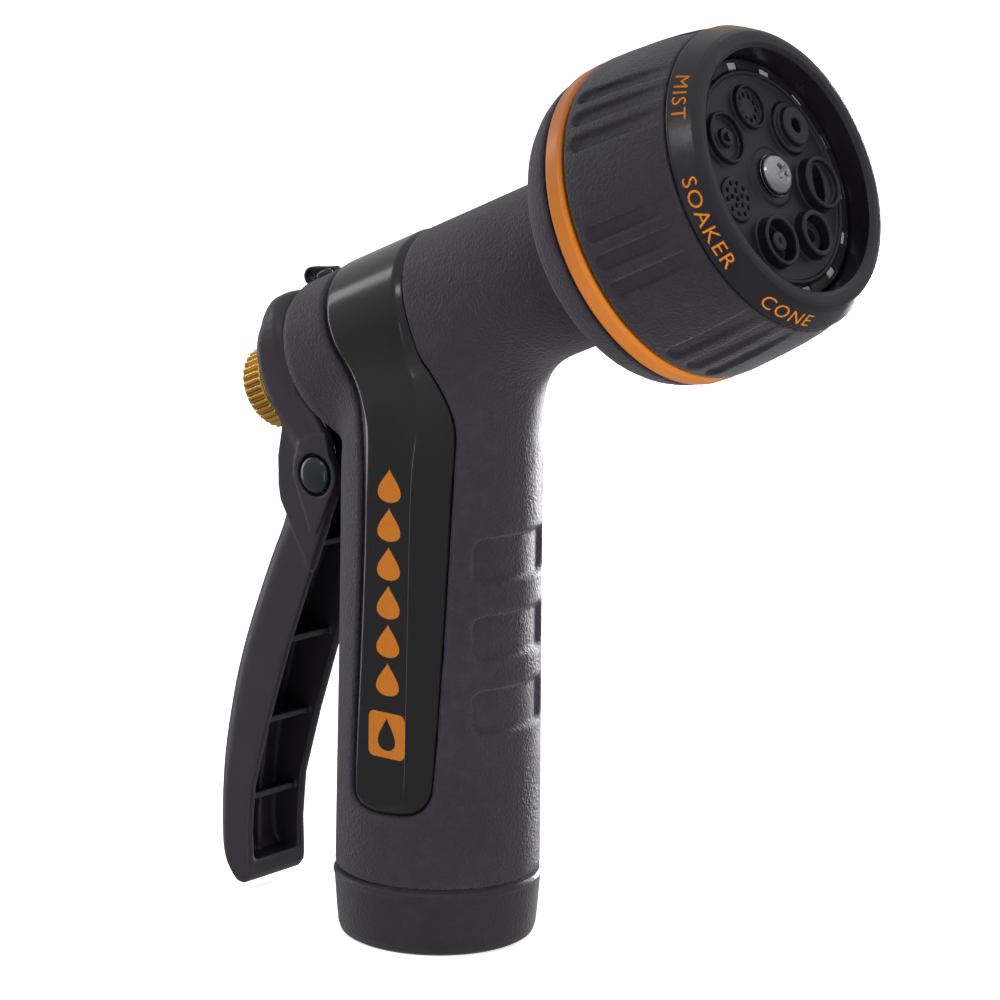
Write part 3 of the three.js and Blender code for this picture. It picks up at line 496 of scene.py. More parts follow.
def drum_sdf(p):
    x, y, z = p
    s, h = s_h(x, z)
    rho = np.sqrt(y * y + h * h)
    f = poly2(rho, s, [(24.6, 54.3), (27.9, 54.3), (28.25, 54.65), (28.28, 57), (28.05, 60), (27.75, 64), (27.3, 68), (26.8, 71), (26.2, 73.5), (26.0, 73.8), (24.6, 73.8)])
    a = np.degrees(np.arctan2(h, -y))
    best = np.full(x.shape, 1e3, np.float32)
    for k in range(PATTERNS):
        for off in (-9.9, 0, 9.9):
            d = (a - (-13.4 + 360.0 / PATTERNS * k + off) + 180) % 360 - 180
            best = np.where(np.abs(d) < np.abs(best), d, best)
    t = best * (np.pi / 180) * 27.3
    q = np.sqrt(t * t + np.maximum(np.abs(s - 65.4) - 8.2, 0) ** 2)
    w = np.where(s > 65.4, np.abs(t), q)
    groove = smax(w - 1.35, 27.0 - 0.075 * (s - 60) - rho + 0.15, 0.5)
    return smax(f, -groove, 0.45)


OUTLETS = [  # radius, height of the rim, wall
    (3.8, 74.9, 0.5), (4.4, 75.4, 0.5), (3.8, 75.3, 0.5), (3.35, 76.2, 2.1), (4.6, 76.3, 0.8), (4.0, 76.35, 0.95), (4.3, 76.3, 0.75)]


def disc_sdf(p):
    x, y, z = p
    s, h = s_h(x, z)
    rho = np.sqrt(y * y + h * h)
    f = np.maximum(np.maximum(71.15 - s, s - 74.2), rho - 20.45)
    rim = smax(np.abs(rho - 18.0) - 0.35, s - 74.75, 0.2)
    f = smin(f, np.maximum(rim, 72 - s), 0.35)
    a = np.degrees(np.arctan2(h, -y))
    # rectangular drain slots round the edge of the recess
    d = ((a - PHASE + 360.0 / 28) % (360.0 / 14)) - 360.0 / 28
    slot = np.maximum(np.abs(d) * np.pi / 180 * rho - 1.35, np.abs(rho - 19.35) - 0.7)
    f = smax(f, -np.maximum(slot, 72.6 - s), 0.2)
    for k, (r, top, wall) in enumerate(OUTLETS):
        cy, ch = station(k)
        d = np.sqrt((y - PCR * cy) ** 2 + (h - PCR * ch) ** 2)
        u = (y * cy + h * ch) - PCR              # outwards
        v = y * -ch + h * cy                      # round the ring
        boss = smax(d - r, s - top, 0.25)
        f = smin(f, np.maximum(boss, 72 - s), 0.3)
        if k == 0:
            dots = d - 0.42
            for n_, rr in ((5, 1.35), (10, 2.7)):
                for i in range(n_):
                    t = 2 * math.pi * (i + 0.5) / n_
                    dots = np.minimum(dots, np.sqrt((u - rr * math.cos(t)) ** 2 + (v - rr * math.sin(t)) ** 2) - 0.40)
            f = smax(f, -np.maximum(dots, 73.0 - s), 0.12)
        elif k == 1:
            f = smax(f, -np.maximum(d - (r - wall), 74.3 - s), 0.2)
            f = smin(f, np.maximum(smax(d - 1.6, s - 75.2, 0.3), 72 - s), 0.25)
            f = smax(f, -np.maximum(d - 0.5, 72.9 - s), 0.12)
        elif k == 2:
            f = smax(f, -np.maximum(d - (r - wall), 74.4 - s), 0.2)
            hole = np.full(x.shape, 1e3, np.float32)
            for i in range(10):
                t = 2 * math.pi * i / 10
                hole = np.minimum(hole, np.sqrt((u - 2.2 * math.cos(t)) ** 2 + (v - 2.2 * math.sin(t)) ** 2) - 0.38)
            f = smax(f, -np.maximum(hole, 72.6 - s), 0.12)
        elif k == 3:
            f = smin(f, np.maximum(smax(d - 4.5, s - 75.1, 0.3), 72 - s), 0.3)
            f = smax(f, -np.maximum(d - 1.25, 73.0 - s), 0.25)
        elif k == 4:
            f = smax(f, -np.maximum(d - (r - wall), 75.3 - s), 0.25)
            slit = np.sqrt((v / 3.2) ** 2 + (u / 1.5) ** 2) - 1
            f = smax(f, -np.maximum(slit * 1.3, 72.9 - s), 0.3)
        elif k == 5:
            f = smax(f, -np.maximum(d - (r - wall), 73.0 - s), 0.25)
        else:
            f = smax(f, -np.maximum(d - (r - wall), 73.6 - s), 0.25)
            f = smin(f, np.maximum(smax(d - 1.7, s - 75.7, 0.35), 72 - s), 0.2)
            f = smax(f, -np.maximum(d - 0.45, 74.4 - s), 0.1)
    f = smin(f, np.maximum(smax(rho - 4.9, s - 74.75, 0.4), 72 - s), 0.6)
    return np.maximum(f, -(rho - 1.75))


def screw_sdf(p):
    x, y, z = p
    s, h = s_h(x, z)
    rho = np.sqrt(y * y + h * h)
    head = poly2(rho, s, [(-5, 75.35), (3.4, 75.35), (3.58, 75.5), (3.5, 75.8), (3.25, 76.2), (2.8, 76.6), (2.1, 76.92), (1.2, 77.1), (0, 77.17), (-5, 77.17)])
    shank = poly2(rho, s, [(-5, 56.0), (1.25, 56.0), (1.6, 56.5), (1.6, 75.5), (-5, 75.5)])
    f = np.minimum(head, shank)
    c, q = math.cos(0.5), math.sin(0.5)
    a, b = y * c + h * q, -y * q + h * c
    w = 0.42 + 0.10 * np.maximum(s - 75.8, 0)
    cross = np.minimum(np.maximum(np.abs(a) - w, np.abs(b) - 2.0 - 0.0 * s), np.maximum(np.abs(b) - w, np.abs(a) - 2.0))
    cross = np.minimum(cross, rho - 0.85)
    taper = np.maximum(cross, (76.0 + 0.75 * np.clip(rho - 0.4, 0, 3)) - s)
    return smax(f, -taper, 0.12)


def nut_sdf(p):
    x, y, z = p
    s, h = s_h(x, z)
    rho = np.sqrt(y * y + h * h)
    a = np.arctan2(h, y)
    tooth = np.cos(a * 34)
    knurl = 7.48 + 0.34 * np.clip(tooth * 1.7, -1, 1) * ramp(s, -44.5, -44.0) * (1 - ramp(s, -40.4, -40.0))
    outer = poly2(rho, s, [(-5, -44.6), (6.7, -44.6), (7.15, -44.45), (7.85, -43.9), (7.85, -40.1), (7.1, -39.75), (7.05, -39.5), (7.55, -39.3), (7.6, -38.5), (7.3, -38.2), (-5, -38.2)])
    f = smax(outer, rho - knurl - 3 * ((s > -40.0) | (s < -44.55)), 0.12)
    dish = np.maximum(rho - 5.2, s + 44.15)
    f = smax(f, -dish, 0.25)
    hub = smax(np.abs(rho - 3.1) - 0.75, -44.45 - s, 0.2)
    f = np.minimum(f, np.maximum(hub, s + 43.0))
    return np.maximum(f, -(rho - 2.5))


def latch_sdf(p):
    x, y, z = p
    s, h = s_h(x, z)
    arm = np.minimum(np.sqrt((s + 26.4) ** 2 + (h - 15.9) ** 2) - 1.72,
                     poly2(s, h, [(-27.0, 14.4), (-25.9, 17.6), (-22.6, 16.5), (-20.9, 15.9), (-20.35, 14.9), (-20.9, 13.4), (-22.2, 13.05), (-24.2, 13.3)]))
    f = smin(arm, np.sqrt((s + 21.8) ** 2 + (h - 14.5) ** 2) - 1.45, 0.6)
    f = smax(f, np.abs(y) - 1.15, 0.45)
    f = smax(f, -(np.sqrt((s + 26.4) ** 2 + (h - 15.9) ** 2) - 0.85), 0.2)
    return np.maximum(f, -(np.sqrt((s + 21.8) ** 2 + (h - 14.5) ** 2) - 0.55))


# ------------------------------------------------------------------ materials
class Mat:
    """Small helper round a node tree with one Principled shader."""

    def __init__(self, name, base=(0.5, 0.5, 0.5), rough=0.5, metal=0.0, **kw):
        self.m = bpy.data.materials.new(name)
        self.m.use_nodes = True
        self.t = self.m.node_tree
        self.b = self.t.nodes["Principled BSDF"]
        self.b.inputs["Base Color"].default_value = (*base, 1)
        self.b.inputs["Roughness"].default_value = rough
        self.b.inputs["Metallic"].default_value = metal
        for k, v in kw.items():
            self.b.inputs[k.replace("_", " ")].default_value = v
        self.co = self.t.nodes.new("ShaderNodeTexCoord").outputs["Object"]
        self.h = None

    def node(self, kind, **kw):
        n = self.t.nodes.new(kind)
        for k, v in kw.items():
            setattr(n, k, v)
        return n

    def link(self, a, b):
        self.t.links.new(a, b)

    def scaled(self, sx, sy=None, sz=None, rot=(0, 0, 0)):
        n = self.node("ShaderNodeMapping")
        self.link(self.co, n.inputs["Vector"])
        n.inputs["Scale"].default_value = (sx, sy or sx, sz or sx)
        n.inputs["Rotation"].default_value = rot
        return n.outputs["Vector"]

    def noise(self, scale, detail=3.0, rough=0.5, dist=0.0, vec=None):
        n = self.node("ShaderNodeTexNoise")
        self.link(vec or self.co, n.inputs["Vector"])
        n.inputs["Scale"].default_value = scale
        n.inputs["Detail"].default_value = detail
        n.inputs["Roughness"].default_value = rough
        n.inputs["Distortion"].default_value = dist
        return n.outputs["Fac"]

    def voronoi(self, scale, feature="F1", smooth=0.5, rnd=1.0, vec=None, out="Distance"):
        n = self.node("ShaderNodeTexVoronoi", feature=feature)
        self.link(vec or self.co, n.inputs["Vector"])
        n.inputs["Scale"].default_value = scale
        n.inputs["Randomness"].default_value = rnd
        if feature == "SMOOTH_F1":
            n.inputs["Smoothness"].default_value = smooth
        return n.outputs[out]

    def range(self, v, a, b, c=0.0, d=1.0, smooth=False):
        n = self.node("ShaderNodeMapRange")
        if smooth:
            n.interpolation_type = "SMOOTHSTEP"
        self.link(v, n.inputs["Value"])
        for k, q in (("From Min", a), ("From Max", b), ("To Min", c), ("To Max", d)):
            n.inputs[k].default_value = q
        return n.outputs["Result"]

    def math(self, op, a, b=None, c=None):
        n = self.node("ShaderNodeMath", operation=op)
        for i, v in enumerate((a, b, c)):
            if v is None:
                continue
            if isinstance(v, (int, float)):
                n.inputs[i].default_value = v
            else:
                self.link(v, n.inputs[i])
        return n.outputs[0]

    def mix(self, f, a, b):
        n = self.node("ShaderNodeMix", data_type="RGBA")
        if isinstance(f, (int, float)):
            n.inputs[0].default_value = f
        else:
            self.link(f, n.inputs[0])
        for i, v in ((6, a), (7, b)):
            if isinstance(v, tuple):
                n.inputs[i].default_value = (*v, 1) if len(v) == 3 else v
            else:
                self.link(v, n.inputs[i])
        return n.outputs[2]

    def bump(self, height, dist, strength=1.0):
        n = self.node("ShaderNodeBump")
        n.inputs["Distance"].default_value = dist
        n.inputs["Strength"].default_value = strength
        self.link(height, n.inputs["Height"])
        if self.h is not None:
            self.link(self.h, n.inputs["Normal"])
        self.h = n.outputs["Normal"]
        self.link(self.h, self.b.inputs["Normal"])
        return self

    def color(self, v):
        self.link(v, self.b.inputs["Base Color"]); return self

    def rough(self, v):
        self.link(v, self.b.inputs["Roughness"]); return self

    def edge(self, a=0.47, b=0.56):
        """0 on flats and hollows, 1 on worn convex edges."""
        g = self.node("ShaderNodeNewGeometry")
        return self.range(g.outputs["Pointiness"], a, b, 0, 1)

    def cavity(self, dist=0.004):
        n = self.node("ShaderNodeAmbientOcclusion")
        n.samples = 8
        n.inputs["Distance"].default_value = dist
        return n.outputs["AO"]


def lin(r, g, b):
    f = lambda c: (c / 255 / 12.92) if c / 255 <= 0.04045 else ((c / 255 + 0.055) / 1.055) ** 2.4
    return (f(r), f(g), f(b))


def rubber(name, base, grain=1.0, rough=(0.5, 0.68)):
    """Moulded thermoplastic rubber with a fine leather grain."""
    m = Mat(name, base, 0.6, Specular_IOR_Level=0.32)
    m.b.inputs["Sheen Weight"].default_value = 0.08
    m.b.inputs["Sheen Roughness"].default_value = 0.5
    warp = m.node("ShaderNodeVectorMath", operation="ADD")
    wn = m.node("ShaderNodeTexNoise")
    m.link(m.co, wn.inputs["Vector"])
    wn.inputs["Scale"].default_value = 700
    sc_ = m.node("ShaderNodeVectorMath", operation="SCALE")
    m.link(wn.outputs["Color"], sc_.inputs[0])
    sc_.inputs["Scale"].default_value = 0.0007
    m.link(m.co, warp.inputs[0]); m.link(sc_.outputs[0], warp.inputs[1])
    cells = m.voronoi(1700, "SMOOTH_F1", 0.30, vec=warp.outputs[0])
    cells2 = m.voronoi(3200, "SMOOTH_F1", 0.35, vec=warp.outputs[0])
    fine = m.noise(4200, 2, 0.6)
    big = m.noise(60, 3, 0.6)
    hgt = m.math("ADD", m.math("MULTIPLY", cells, 0.6), m.math("MULTIPLY", cells2, 0.35))
    m.bump(hgt, 0.00023 * grain, 0.9)
    m.bump(fine, 0.00002, 0.6)
    dust = m.range(m.noise(420, 4, 0.65), 0.48, 0.75)
    wear = m.math("MULTIPLY", m.edge(0.505, 0.60), m.range(m.noise(240, 3, 0.6), 0.35, 0.65))
    c = m.mix(m.range(big, 0.3, 0.7, 0, 0.65), tuple(v * 0.82 for v in base), tuple(v * 1.22 for v in base))
    c = m.mix(m.math("MULTIPLY", dust, 0.12), c, tuple(min(1, v * 2.6 + 0.01) for v in base))
    c = m.mix(m.math("MULTIPLY", wear, 0.30), c, tuple(min(1, v * 2.2 + 0.012) for v in base))
    m.color(c)
    m.rough(m.math("ADD", m.range(big, 0.3, 0.7, rough[0], rough[1]), m.math("MULTIPLY", cells, -0.05)))
    return m


def enamel(name, base):
    """Glossy black stove enamel on die-cast metal."""
    m = Mat(name, base, 0.16, 0.0, Specular_IOR_Level=0.5)
    peel = m.noise(330, 2, 0.45)
    m.bump(peel, 0.00004, 0.35)
    speck = m.range(m.noise(2600, 2, 0.6), 0.70, 0.78)
    scr = m.noise(700, 2, 0.6, vec=m.scaled(0.15, 1, 1, (0, 0.5, 0.2)))
    scuff = m.range(scr, 0.62, 0.72)
    m.rough(m.math("ADD", m.range(m.noise(45, 3, 0.6), 0.3, 0.7, 0.10, 0.20), m.math("ADD", m.math("MULTIPLY", scuff, 0.07), m.math("MULTIPLY", speck, 0.03))))
    c = m.mix(m.math("MULTIPLY", m.edge(0.53, 0.64), 0.20), base, tuple(v * 2.4 + 0.006 for v in base))
    c = m.mix(m.math("MULTIPLY", speck, 0.12), c, tuple(v * 2.5 + 0.004 for v in base))
    m.color(c)
    return m


def plastic(name, base, rough=(0.3, 0.42), micro=0.00002, coat=0.0, edge=0.35):
    """Injection-moulded plastic: faint spark-eroded texture, flow marks, rubbed edges."""
    m = Mat(name, base, sum(rough) / 2, Specular_IOR_Level=0.42, Coat_Weight=coat, Coat_Roughness=0.2)
    tex = m.noise(2600, 3, 0.6)
    m.bump(tex, micro, 0.7)
    flow = m.noise(38, 3, 0.55, 0.8)
    m.bump(flow, 0.00012, 0.22)
    scr = m.range(m.noise(520, 3, 0.6, vec=m.scaled(1, 0.1, 0.22, (0.5, 0.3, 0.1))), 0.6, 0.74)
    wear = m.math("MULTIPLY", m.edge(0.52, 0.62), m.range(m.noise(300, 3, 0.6), 0.35, 0.7))
    c = m.mix(m.range(flow, 0.3, 0.7, 0, 0.5), tuple(v * 0.9 for v in base), tuple(min(1, v * 1.13) for v in base))
    c = m.mix(m.math("MULTIPLY", wear, edge), c, tuple(min(1, v * 1.7 + 0.012) for v in base))
    c = m.mix(m.math("MULTIPLY", scr, 0.10), c, tuple(min(1, v * 1.5 + 0.012) for v in base))
    m.color(c)
    m.rough(m.math("ADD", m.range(m.noise(70, 4, 0.6), 0.3, 0.7, rough[0], rough[1]), m.math("MULTIPLY", scr, 0.08)))
    return m


def metal(name, base, rough=(0.16, 0.3), turned=True, tarnish=(0.3, 0.16, 0.05), amount=0.25):
    """Turned metal with fine tool marks along the spray axis and light tarnish in the hollows."""
    m = Mat(name, base, 0.25, 1.0)
    v = m.scaled(1, 1, 1)
    if turned:
        n = m.node("ShaderNodeMapping"); m.link(m.co, n.inputs["Vector"])
        n.inputs["Rotation"].default_value = (0, TH, 0)
        n.inputs["Scale"].default_value = (9000, 60, 60)
        marks = m.noise(1.0, 2, 0.6, vec=n.outputs["Vector"])
        m.bump(marks, 0.00001, 0.6)
    fine = m.noise(2400, 3, 0.6)
    m.bump(fine, 0.000012, 0.5)
    spots = m.range(m.noise(330, 4, 0.65), 0.5, 0.72)
    cav = m.range(m.edge(0.40, 0.52), 0, 1, 1, 0)
    c = m.mix(m.math("MULTIPLY", spots, amount), base, tarnish)
    c = m.mix(m.math("MULTIPLY", cav, 0.55), c, tuple(t * 0.6 for t in tarnish))
    m.color(c)
    m.rough(m.range(m.noise(260, 4, 0.6), 0.3, 0.7, rough[0], rough[1]))
    return m


def ink(name, base):
    """Pad-printed ink, slightly uneven."""
    m = Mat(name, base, 0.42, Specular_IOR_Level=0.22)
    n = m.noise(2600, 3, 0.6)
    c = m.mix(m.range(n, 0.35, 0.7, 0, 0.5), tuple(v * 0.85 for v in base), tuple(min(1, v * 1.15) for v in base))
    m.color(c)
    m.bump(n, 0.00001, 0.5)
    m.rough(m.range(m.noise(420, 3, 0.6), 0.3, 0.7, 0.34, 0.5))
    return m


M_RUBBER = rubber("textured_rubber", lin(30, 25, 35))
M_GRIP = rubber("drum_rubber", lin(24, 21, 29), 0.8, (0.45, 0.6))
M_BUMPER = rubber("bumper_rubber", lin(25, 21, 28), 0.55, (0.42, 0.56))
M_SEAL = rubber("seal_rubber", lin(22, 21, 22), 0.4, (0.5, 0.62))
M_ENAMEL = enamel("black_enamel", lin(10, 9, 11))
M_NYLON = plastic("black_nylon", lin(34, 31, 37), (0.34, 0.46), 0.000025)
M_ABS = plastic("black_abs", lin(15, 13, 19), (0.24, 0.34), 0.00002)
M_DISC = plastic("outlet_abs", lin(12, 11, 17), (0.36, 0.46), 0.000012, 0.0, 0.2)
M_ORANGE = plastic("orange_plastic", lin(154, 86, 9), (0.26, 0.36), 0.000012, 0.1, 0.15)
M_ACETAL = plastic("grey_acetal", lin(112, 112, 120), (0.36, 0.46), 0.00002, 0.0, 0.15)
M_PIN = plastic("pin_cap", lin(9, 18, 23), (0.14, 0.22), 0.00001, 0.3, 0.2)
M_BRASS = metal("brass", lin(222, 178, 96), (0.2, 0.34), True, lin(120, 74, 24), 0.3)
M_STEEL = metal("stainless", lin(176, 176, 180), (0.2, 0.32), False, lin(96, 92, 88), 0.2)
M_BLUED = metal("blued_steel", lin(46, 50, 58), (0.22, 0.34), False, lin(24, 22, 24), 0.25)
M_INK = ink("orange_ink", lin(152, 86, 3))


def finish_with(ob, mat):
    ob.data.materials.clear()
    ob.data.materials.append(mat.m)
    return ob


def piece(ob, body, slot, mat, *nodes):
    finish_with(ob, mat)
    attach(ob, body)
    if nodes:
        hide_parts(*nodes)
    return ob


# ------------------------------------------------------------------ printed marks as thin solids
def flat_outline(curves, res=6):
    """2-D filled shapes (even-odd) as (vertices, faces); curves is a list of closed point lists."""
    cu = bpy.data.curves.new("outline", "CURVE")
    cu.dimensions = "2D"
    cu.fill_mode = "BOTH"
    for pts in curves:
        sp = cu.splines.new("POLY")
        sp.points.add(len(pts) - 1)
        for i, (a, b) in enumerate(pts):
            sp.points[i].co = (a, b, 0, 1)
        sp.use_cyclic_u = True
    return outline_mesh(cu)


def flat_text(word, size=1.0):
    cu = bpy.data.curves.new("word", "FONT")
    cu.body = word
    cu.size = size
    cu.resolution_u = 3
    cu.space_character = 1.12
    cu.offset = -0.002
    return outline_mesh(cu)


def outline_mesh(cu):
    ob = bpy.data.objects.new("tmp_outline", cu)
    scene.collection.objects.link(ob)
    dg = bpy.context.evaluated_depsgraph_get()
    me = bpy.data.meshes.new_from_object(ob.evaluated_get(dg), depsgraph=dg)
    bpy.data.objects.remove(ob)
    return me


def wrap_print(name, me, place, cuts_u, cuts_v, thick=0.05):
    """Cuts a flat shape on a grid, lays it on a surface with place(u, v, lift) in millimetres, and closes it as a thin solid."""
    import bmesh
    bm = bmesh.new()
    bm.from_mesh(me)
    bmesh.ops.remove_doubles(bm, verts=bm.verts, dist=1e-5)
    for u in cuts_u:
        bmesh.ops.bisect_plane(bm, geom=bm.verts[:] + bm.edges[:] + bm.faces[:], plane_co=(u, 0, 0), plane_no=(1, 0, 0), dist=1e-6)
    for v in cuts_v:
        bmesh.ops.bisect_plane(bm, geom=bm.verts[:] + bm.edges[:] + bm.faces[:], plane_co=(0, v, 0), plane_no=(0, 1, 0), dist=1e-6)
    bmesh.ops.triangulate(bm, faces=bm.faces[:])
    loose = [v for v in bm.verts if not v.link_faces]
    bmesh.ops.delete(bm, geom=loose, context="VERTS")
    bm.verts.index_update(); bm.faces.index_update()
    flat = [(v.co.x, v.co.y) for v in bm.verts]
    faces = [[v.index for v in f.verts] for f in bm.faces]
    rim = [(e.verts[0].index, e.verts[1].index) for e in bm.edges if len(e.link_faces) == 1]
    bm.free()
    n = len(flat)
    top = [place(u, v, thick) for u, v in flat]
    bot = [place(u, v, -thick) for u, v in flat]
    allf = faces + [[i + n for i in reversed(f)] for f in faces] + [[a, b, b + n, a + n] for a, b in rim]
    ob = new_mesh(name, np.array(top + bot), allf, False)
    return fix_normals(ob)


# ------------------------------------------------------------------ pieces
H = 1.0
bodies = {n: b for b, ns in frame["record"]["behaviour"]["bodies"].items() for n in ns}

grip = piece(implicit("grip_rubber", rubber_sdf, (-33, -29, 10), (59, 29, 161), 0.62 * H), "root", "textured_rubber", M_RUBBER, "grip_overmold")
cast = piece(implicit("casting_enamel", casting_sdf, (-34, -27.5, -1), (58, 27.5, 158), 0.68 * H), "root", "black_enamel", M_ENAMEL, "body_casting")
panel = piece(implicit("window_panel", lambda p: casting_sdf(p, True), (-19, -20, 23), (14, 20, 136), 0.36 * H, 3), "root", "black_enamel", M_ENAMEL, "body_casting")
lever = piece(implicit("trigger_lever", lever_sdf, (-50, -12, 0.5), (-16, 12, 122), 0.42 * H), "lever", "black_nylon", M_NYLON, "lever")
drum = piece(implicit("turret_grip", drum_sdf, (8, -30, 100), (80, 30, 172), 0.42 * H), "turret", "textured_rubber", M_GRIP, "drum_grip")
disc = piece(implicit("outlet_disc", disc_sdf, (55, -21.5, 118), (80, 21.5, 164), 0.27 * H), "turret", "black_abs", M_DISC, "pattern_disc")
nut = piece(implicit("flow_nut_knurled", nut_sdf, (-46, -8.5, 86), (-30.5, 8.5, 106), 0.20 * H), "flow_nut", "brass", M_BRASS, "flow_nut")
screw = piece(implicit("turret_screw", screw_sdf, (48, -4, 130), (74, 4, 147), 0.15 * H), bodies["center_screw"], "stainless", M_STEEL, "center_screw")
latch = piece(implicit("lock_latch", latch_sdf, (-34, -1.6, 112), (-20, 1.6, 122), 0.18 * H), "latch", "stainless", M_BLUED, "hold_open_latch")

bumper = piece(spin("hose_bumper", rounded([(0.0, 15.98), (0.0, 16.7, 0.4), (0.5, 17.55, 0.6), (1.8, 17.98, 1.0), (4.5, 18.25, 1), (8.0, 18.5, 1), (10.6, 18.72, 1), (11.3, 18.95, 0.4), (12.0, 18.6, 0.45), (12.1, 15.98)], 0.3), 220, axis="z"), "root", "textured_rubber", M_BUMPER, "hose_end_bumper")
washer = piece(spin("hose_gasket", rounded([(11.3, 7.7), (11.3, 12.6), (14.2, 12.6), (14.2, 7.7)], 0.7), 120, axis="z"), "root", "seal_rubber", M_SEAL, "hose_washer")
ring = piece(spin("orange_ring", rounded([(49.85, 24.7, 0.2), (49.85, 27.5, 0.5), (50.4, 28.15, 0.7), (53.0, 28.28, 0.6), (53.6, 27.75, 0.5), (53.6, 24.7, 0.2)], 0.3, 6), 240), bodies["accent_ring"], "orange_plastic", M_ORANGE, "accent_ring")
bezel = piece(spin("face_bezel", rounded([(71.1, 20.75, 0.1), (71.1, 24.15, 0.1), (74.12, 24.15, 0.05), (74.12, 25.9, 0.4), (74.6, 26.15, 0.5), (78.0, 24.25, 0.5), (78.72, 23.6, 0.6), (78.88, 22.8, 0.4), (78.88, 21.65, 0.25), (78.35, 20.85, 0.3)], 0.25, 5), 240), bodies["front_bezel"], "black_abs", M_ABS, "front_bezel")
core = piece(spin("turret_core", rounded([(50.0, 2.0), (50.0, 24.15), (70.7, 24.15), (70.7, 2.0)], 0.4), 160), bodies["drum_core"], "grey_acetal", M_ABS, "drum_core")
swash = piece(spin("screw_spacer", rounded([(74.97, 1.8), (74.97, 3.6), (75.14, 3.6), (75.14, 1.8)], 0.04), 60), bodies["screw_washer"], "stainless", M_STEEL, "screw_washer")


def along_y(name, outline, seg, x0, z0):
    """Closed (y, radius) outline turned about a line along Y."""
    O = np.asarray(outline, float)
    th = np.linspace(0, 2 * np.pi, seg, endpoint=False)
    verts, faces, index = [], [], np.full((len(O), seg), -1)
    for i, (yy, r) in enumerate(O):
        if r < 1e-6:
            index[i, :] = len(verts); verts.append((x0, yy, z0))
        else:
            for j, t in enumerate(th):
                index[i, j] = len(verts); verts.append((x0 + r * math.cos(t), yy, z0 + r * math.sin(t)))
    for i in range(len(O) - 1):
        for j in range(seg):
            j2 = (j + 1) % seg
            q = [index[i, j], index[i, j2], index[i + 1, j2], index[i + 1, j]]
            q = [v for k, v in enumerate(q) if v != q[k - 1]]
            if len(q) >= 3:
                faces.append(q)
    return fix_normals(new_mesh(name, np.array(verts), faces))


half = [(7.8, 2.0), (7.8, 3.35), (8.9, 3.42), (9.25, 3.3), (9.55, 2.9), (9.8, 2.2), (9.93, 1.3), (9.98, 0.0)]
prof = [(-y, r) for y, r in reversed(half)] + half
rivet = piece(along_y("pivot_rivet", prof, 72, PIN[0], PIN[1]), bodies["pivot_pin"], "blued_steel", M_PIN, "pivot_pin")
latch_rod = piece(along_y("latch_rod", [(-3.1, 0), (-3.1, 0.35), (-3.0, 0.42), (3.0, 0.42), (3.1, 0.35), (3.1, 0)], 20, *[float(v) for v in (world(-21.8, 0, 14.5)[0], world(-21.8, 0, 14.5)[2])]), bodies["latch_pin"], "stainless", M_STEEL, "latch_pin")

stem = [(-44.9, 0), (-44.9, 1.5), (-44.55, 1.95)]
for k in range(14):
    a = -44.3 + 0.45 * k
    stem += [(a, 2.15), (a + 0.2, 1.85)]
stem += [(-37.6, 2.15), (14.4, 2.15), (14.6, 2.4), (14.6, 6.6), (14.9, 6.85), (17.2, 6.85), (17.35, 6.6), (17.35, 2.2), (22.3, 2.1), (22.35, 0)]
rod = piece(spin("valve_rod", stem, 48), "stem", "brass", M_BRASS, "valve_stem")


# light grey ring lining the drain slots: painted highlight, a pale stand-in for the glints of light caught in the slots
slot_highlight_ring = piece(spin("drain_slot_painted_highlight", rounded([(72.65, 18.75), (73.75, 18.75), (73.75, 19.95), (72.65, 19.95)], 0.1), 160), "turret", "grey_acetal", M_ACETAL)
SLOT_OF = {"textured_rubber": M_RUBBER, "seal_rubber": M_SEAL, "black_enamel": M_ENAMEL, "black_nylon": M_NYLON, "black_abs": M_ABS, "orange_plastic": M_ORANGE, "grey_acetal": M_ACETAL, "brass": M_BRASS, "stainless": M_STEEL, "blued_steel": M_BLUED}
slot_of_node = {}
for q in frame["record"]["subparts"]:
    slot_of_node[q["node"]] = q["material_slot"]
for n, ob in frame["nodes"].items():
    if not ob.hide_render:
        sl = slot_of_node.get(n, "black_abs")
        ob.data.materials.clear()
        ob.data.materials.append((M_DISC if n.endswith("_insert") else SLOT_OF[sl]).m)

# pattern names round the bezel
CONE_A, CONE_B = (74.6, 26.15), (78.0, 24.25)
cs, cr_ = CONE_B[0] - CONE_A[0], CONE_B[1] - CONE_A[1]
cl = math.hypot(cs, cr_)


def on_bezel(centre, u, v, lift):
    """u runs round the rim the way the words read, v towards the face."""
    t = v / cl
    s = CONE_A[0] + cs * t - cr_ / cl * lift
    r = CONE_A[1] + cr_ * t + cs / cl * lift
    a = math.radians(centre) - u / 25.4
    return world(s, -r * math.cos(a), r * math.sin(a))


WORDS = [("MIST", 34.5, 8.7), ("SOAKER", -15.6, 16.0), ("CONE", -66.0, 12.1), ("JET", -117.3, 7.0), ("SHOWER", -168.7, 17.0), ("FLAT", 139.8, 9.6), ("FULL", 88.4, 9.6)]
CAP = 2.3
for word, centre, length in WORDS:
    me = flat_text(word)
    us = [v.co.x for v in me.vertices]; vs = [v.co.y for v in me.vertices]
    u0, u1, v0, v1 = min(us), max(us), min(vs), max(vs)
    for v in me.vertices:
        v.co.x = (v.co.x - (u0 + u1) / 2) * length / (u1 - u0)
        v.co.y = (v.co.y - (v0 + v1) / 2) * CAP / (v1 - v0) + cl * 0.5
    ob = wrap_print("word_" + word.lower(), me, lambda u, v, l, c=centre: on_bezel(c, u, v, l), np.arange(-length / 2, length / 2, 0.55), [], 0.035)
    piece(ob, bodies["front_bezel"], "orange_plastic", M_INK)

# printed graphic on each side panel
from mathutils.bvhtree import BVHTree
tree = BVHTree.FromPolygons([v.co / MM for v in panel.data.vertices], [tuple(p.vertices) for p in panel.data.polygons])


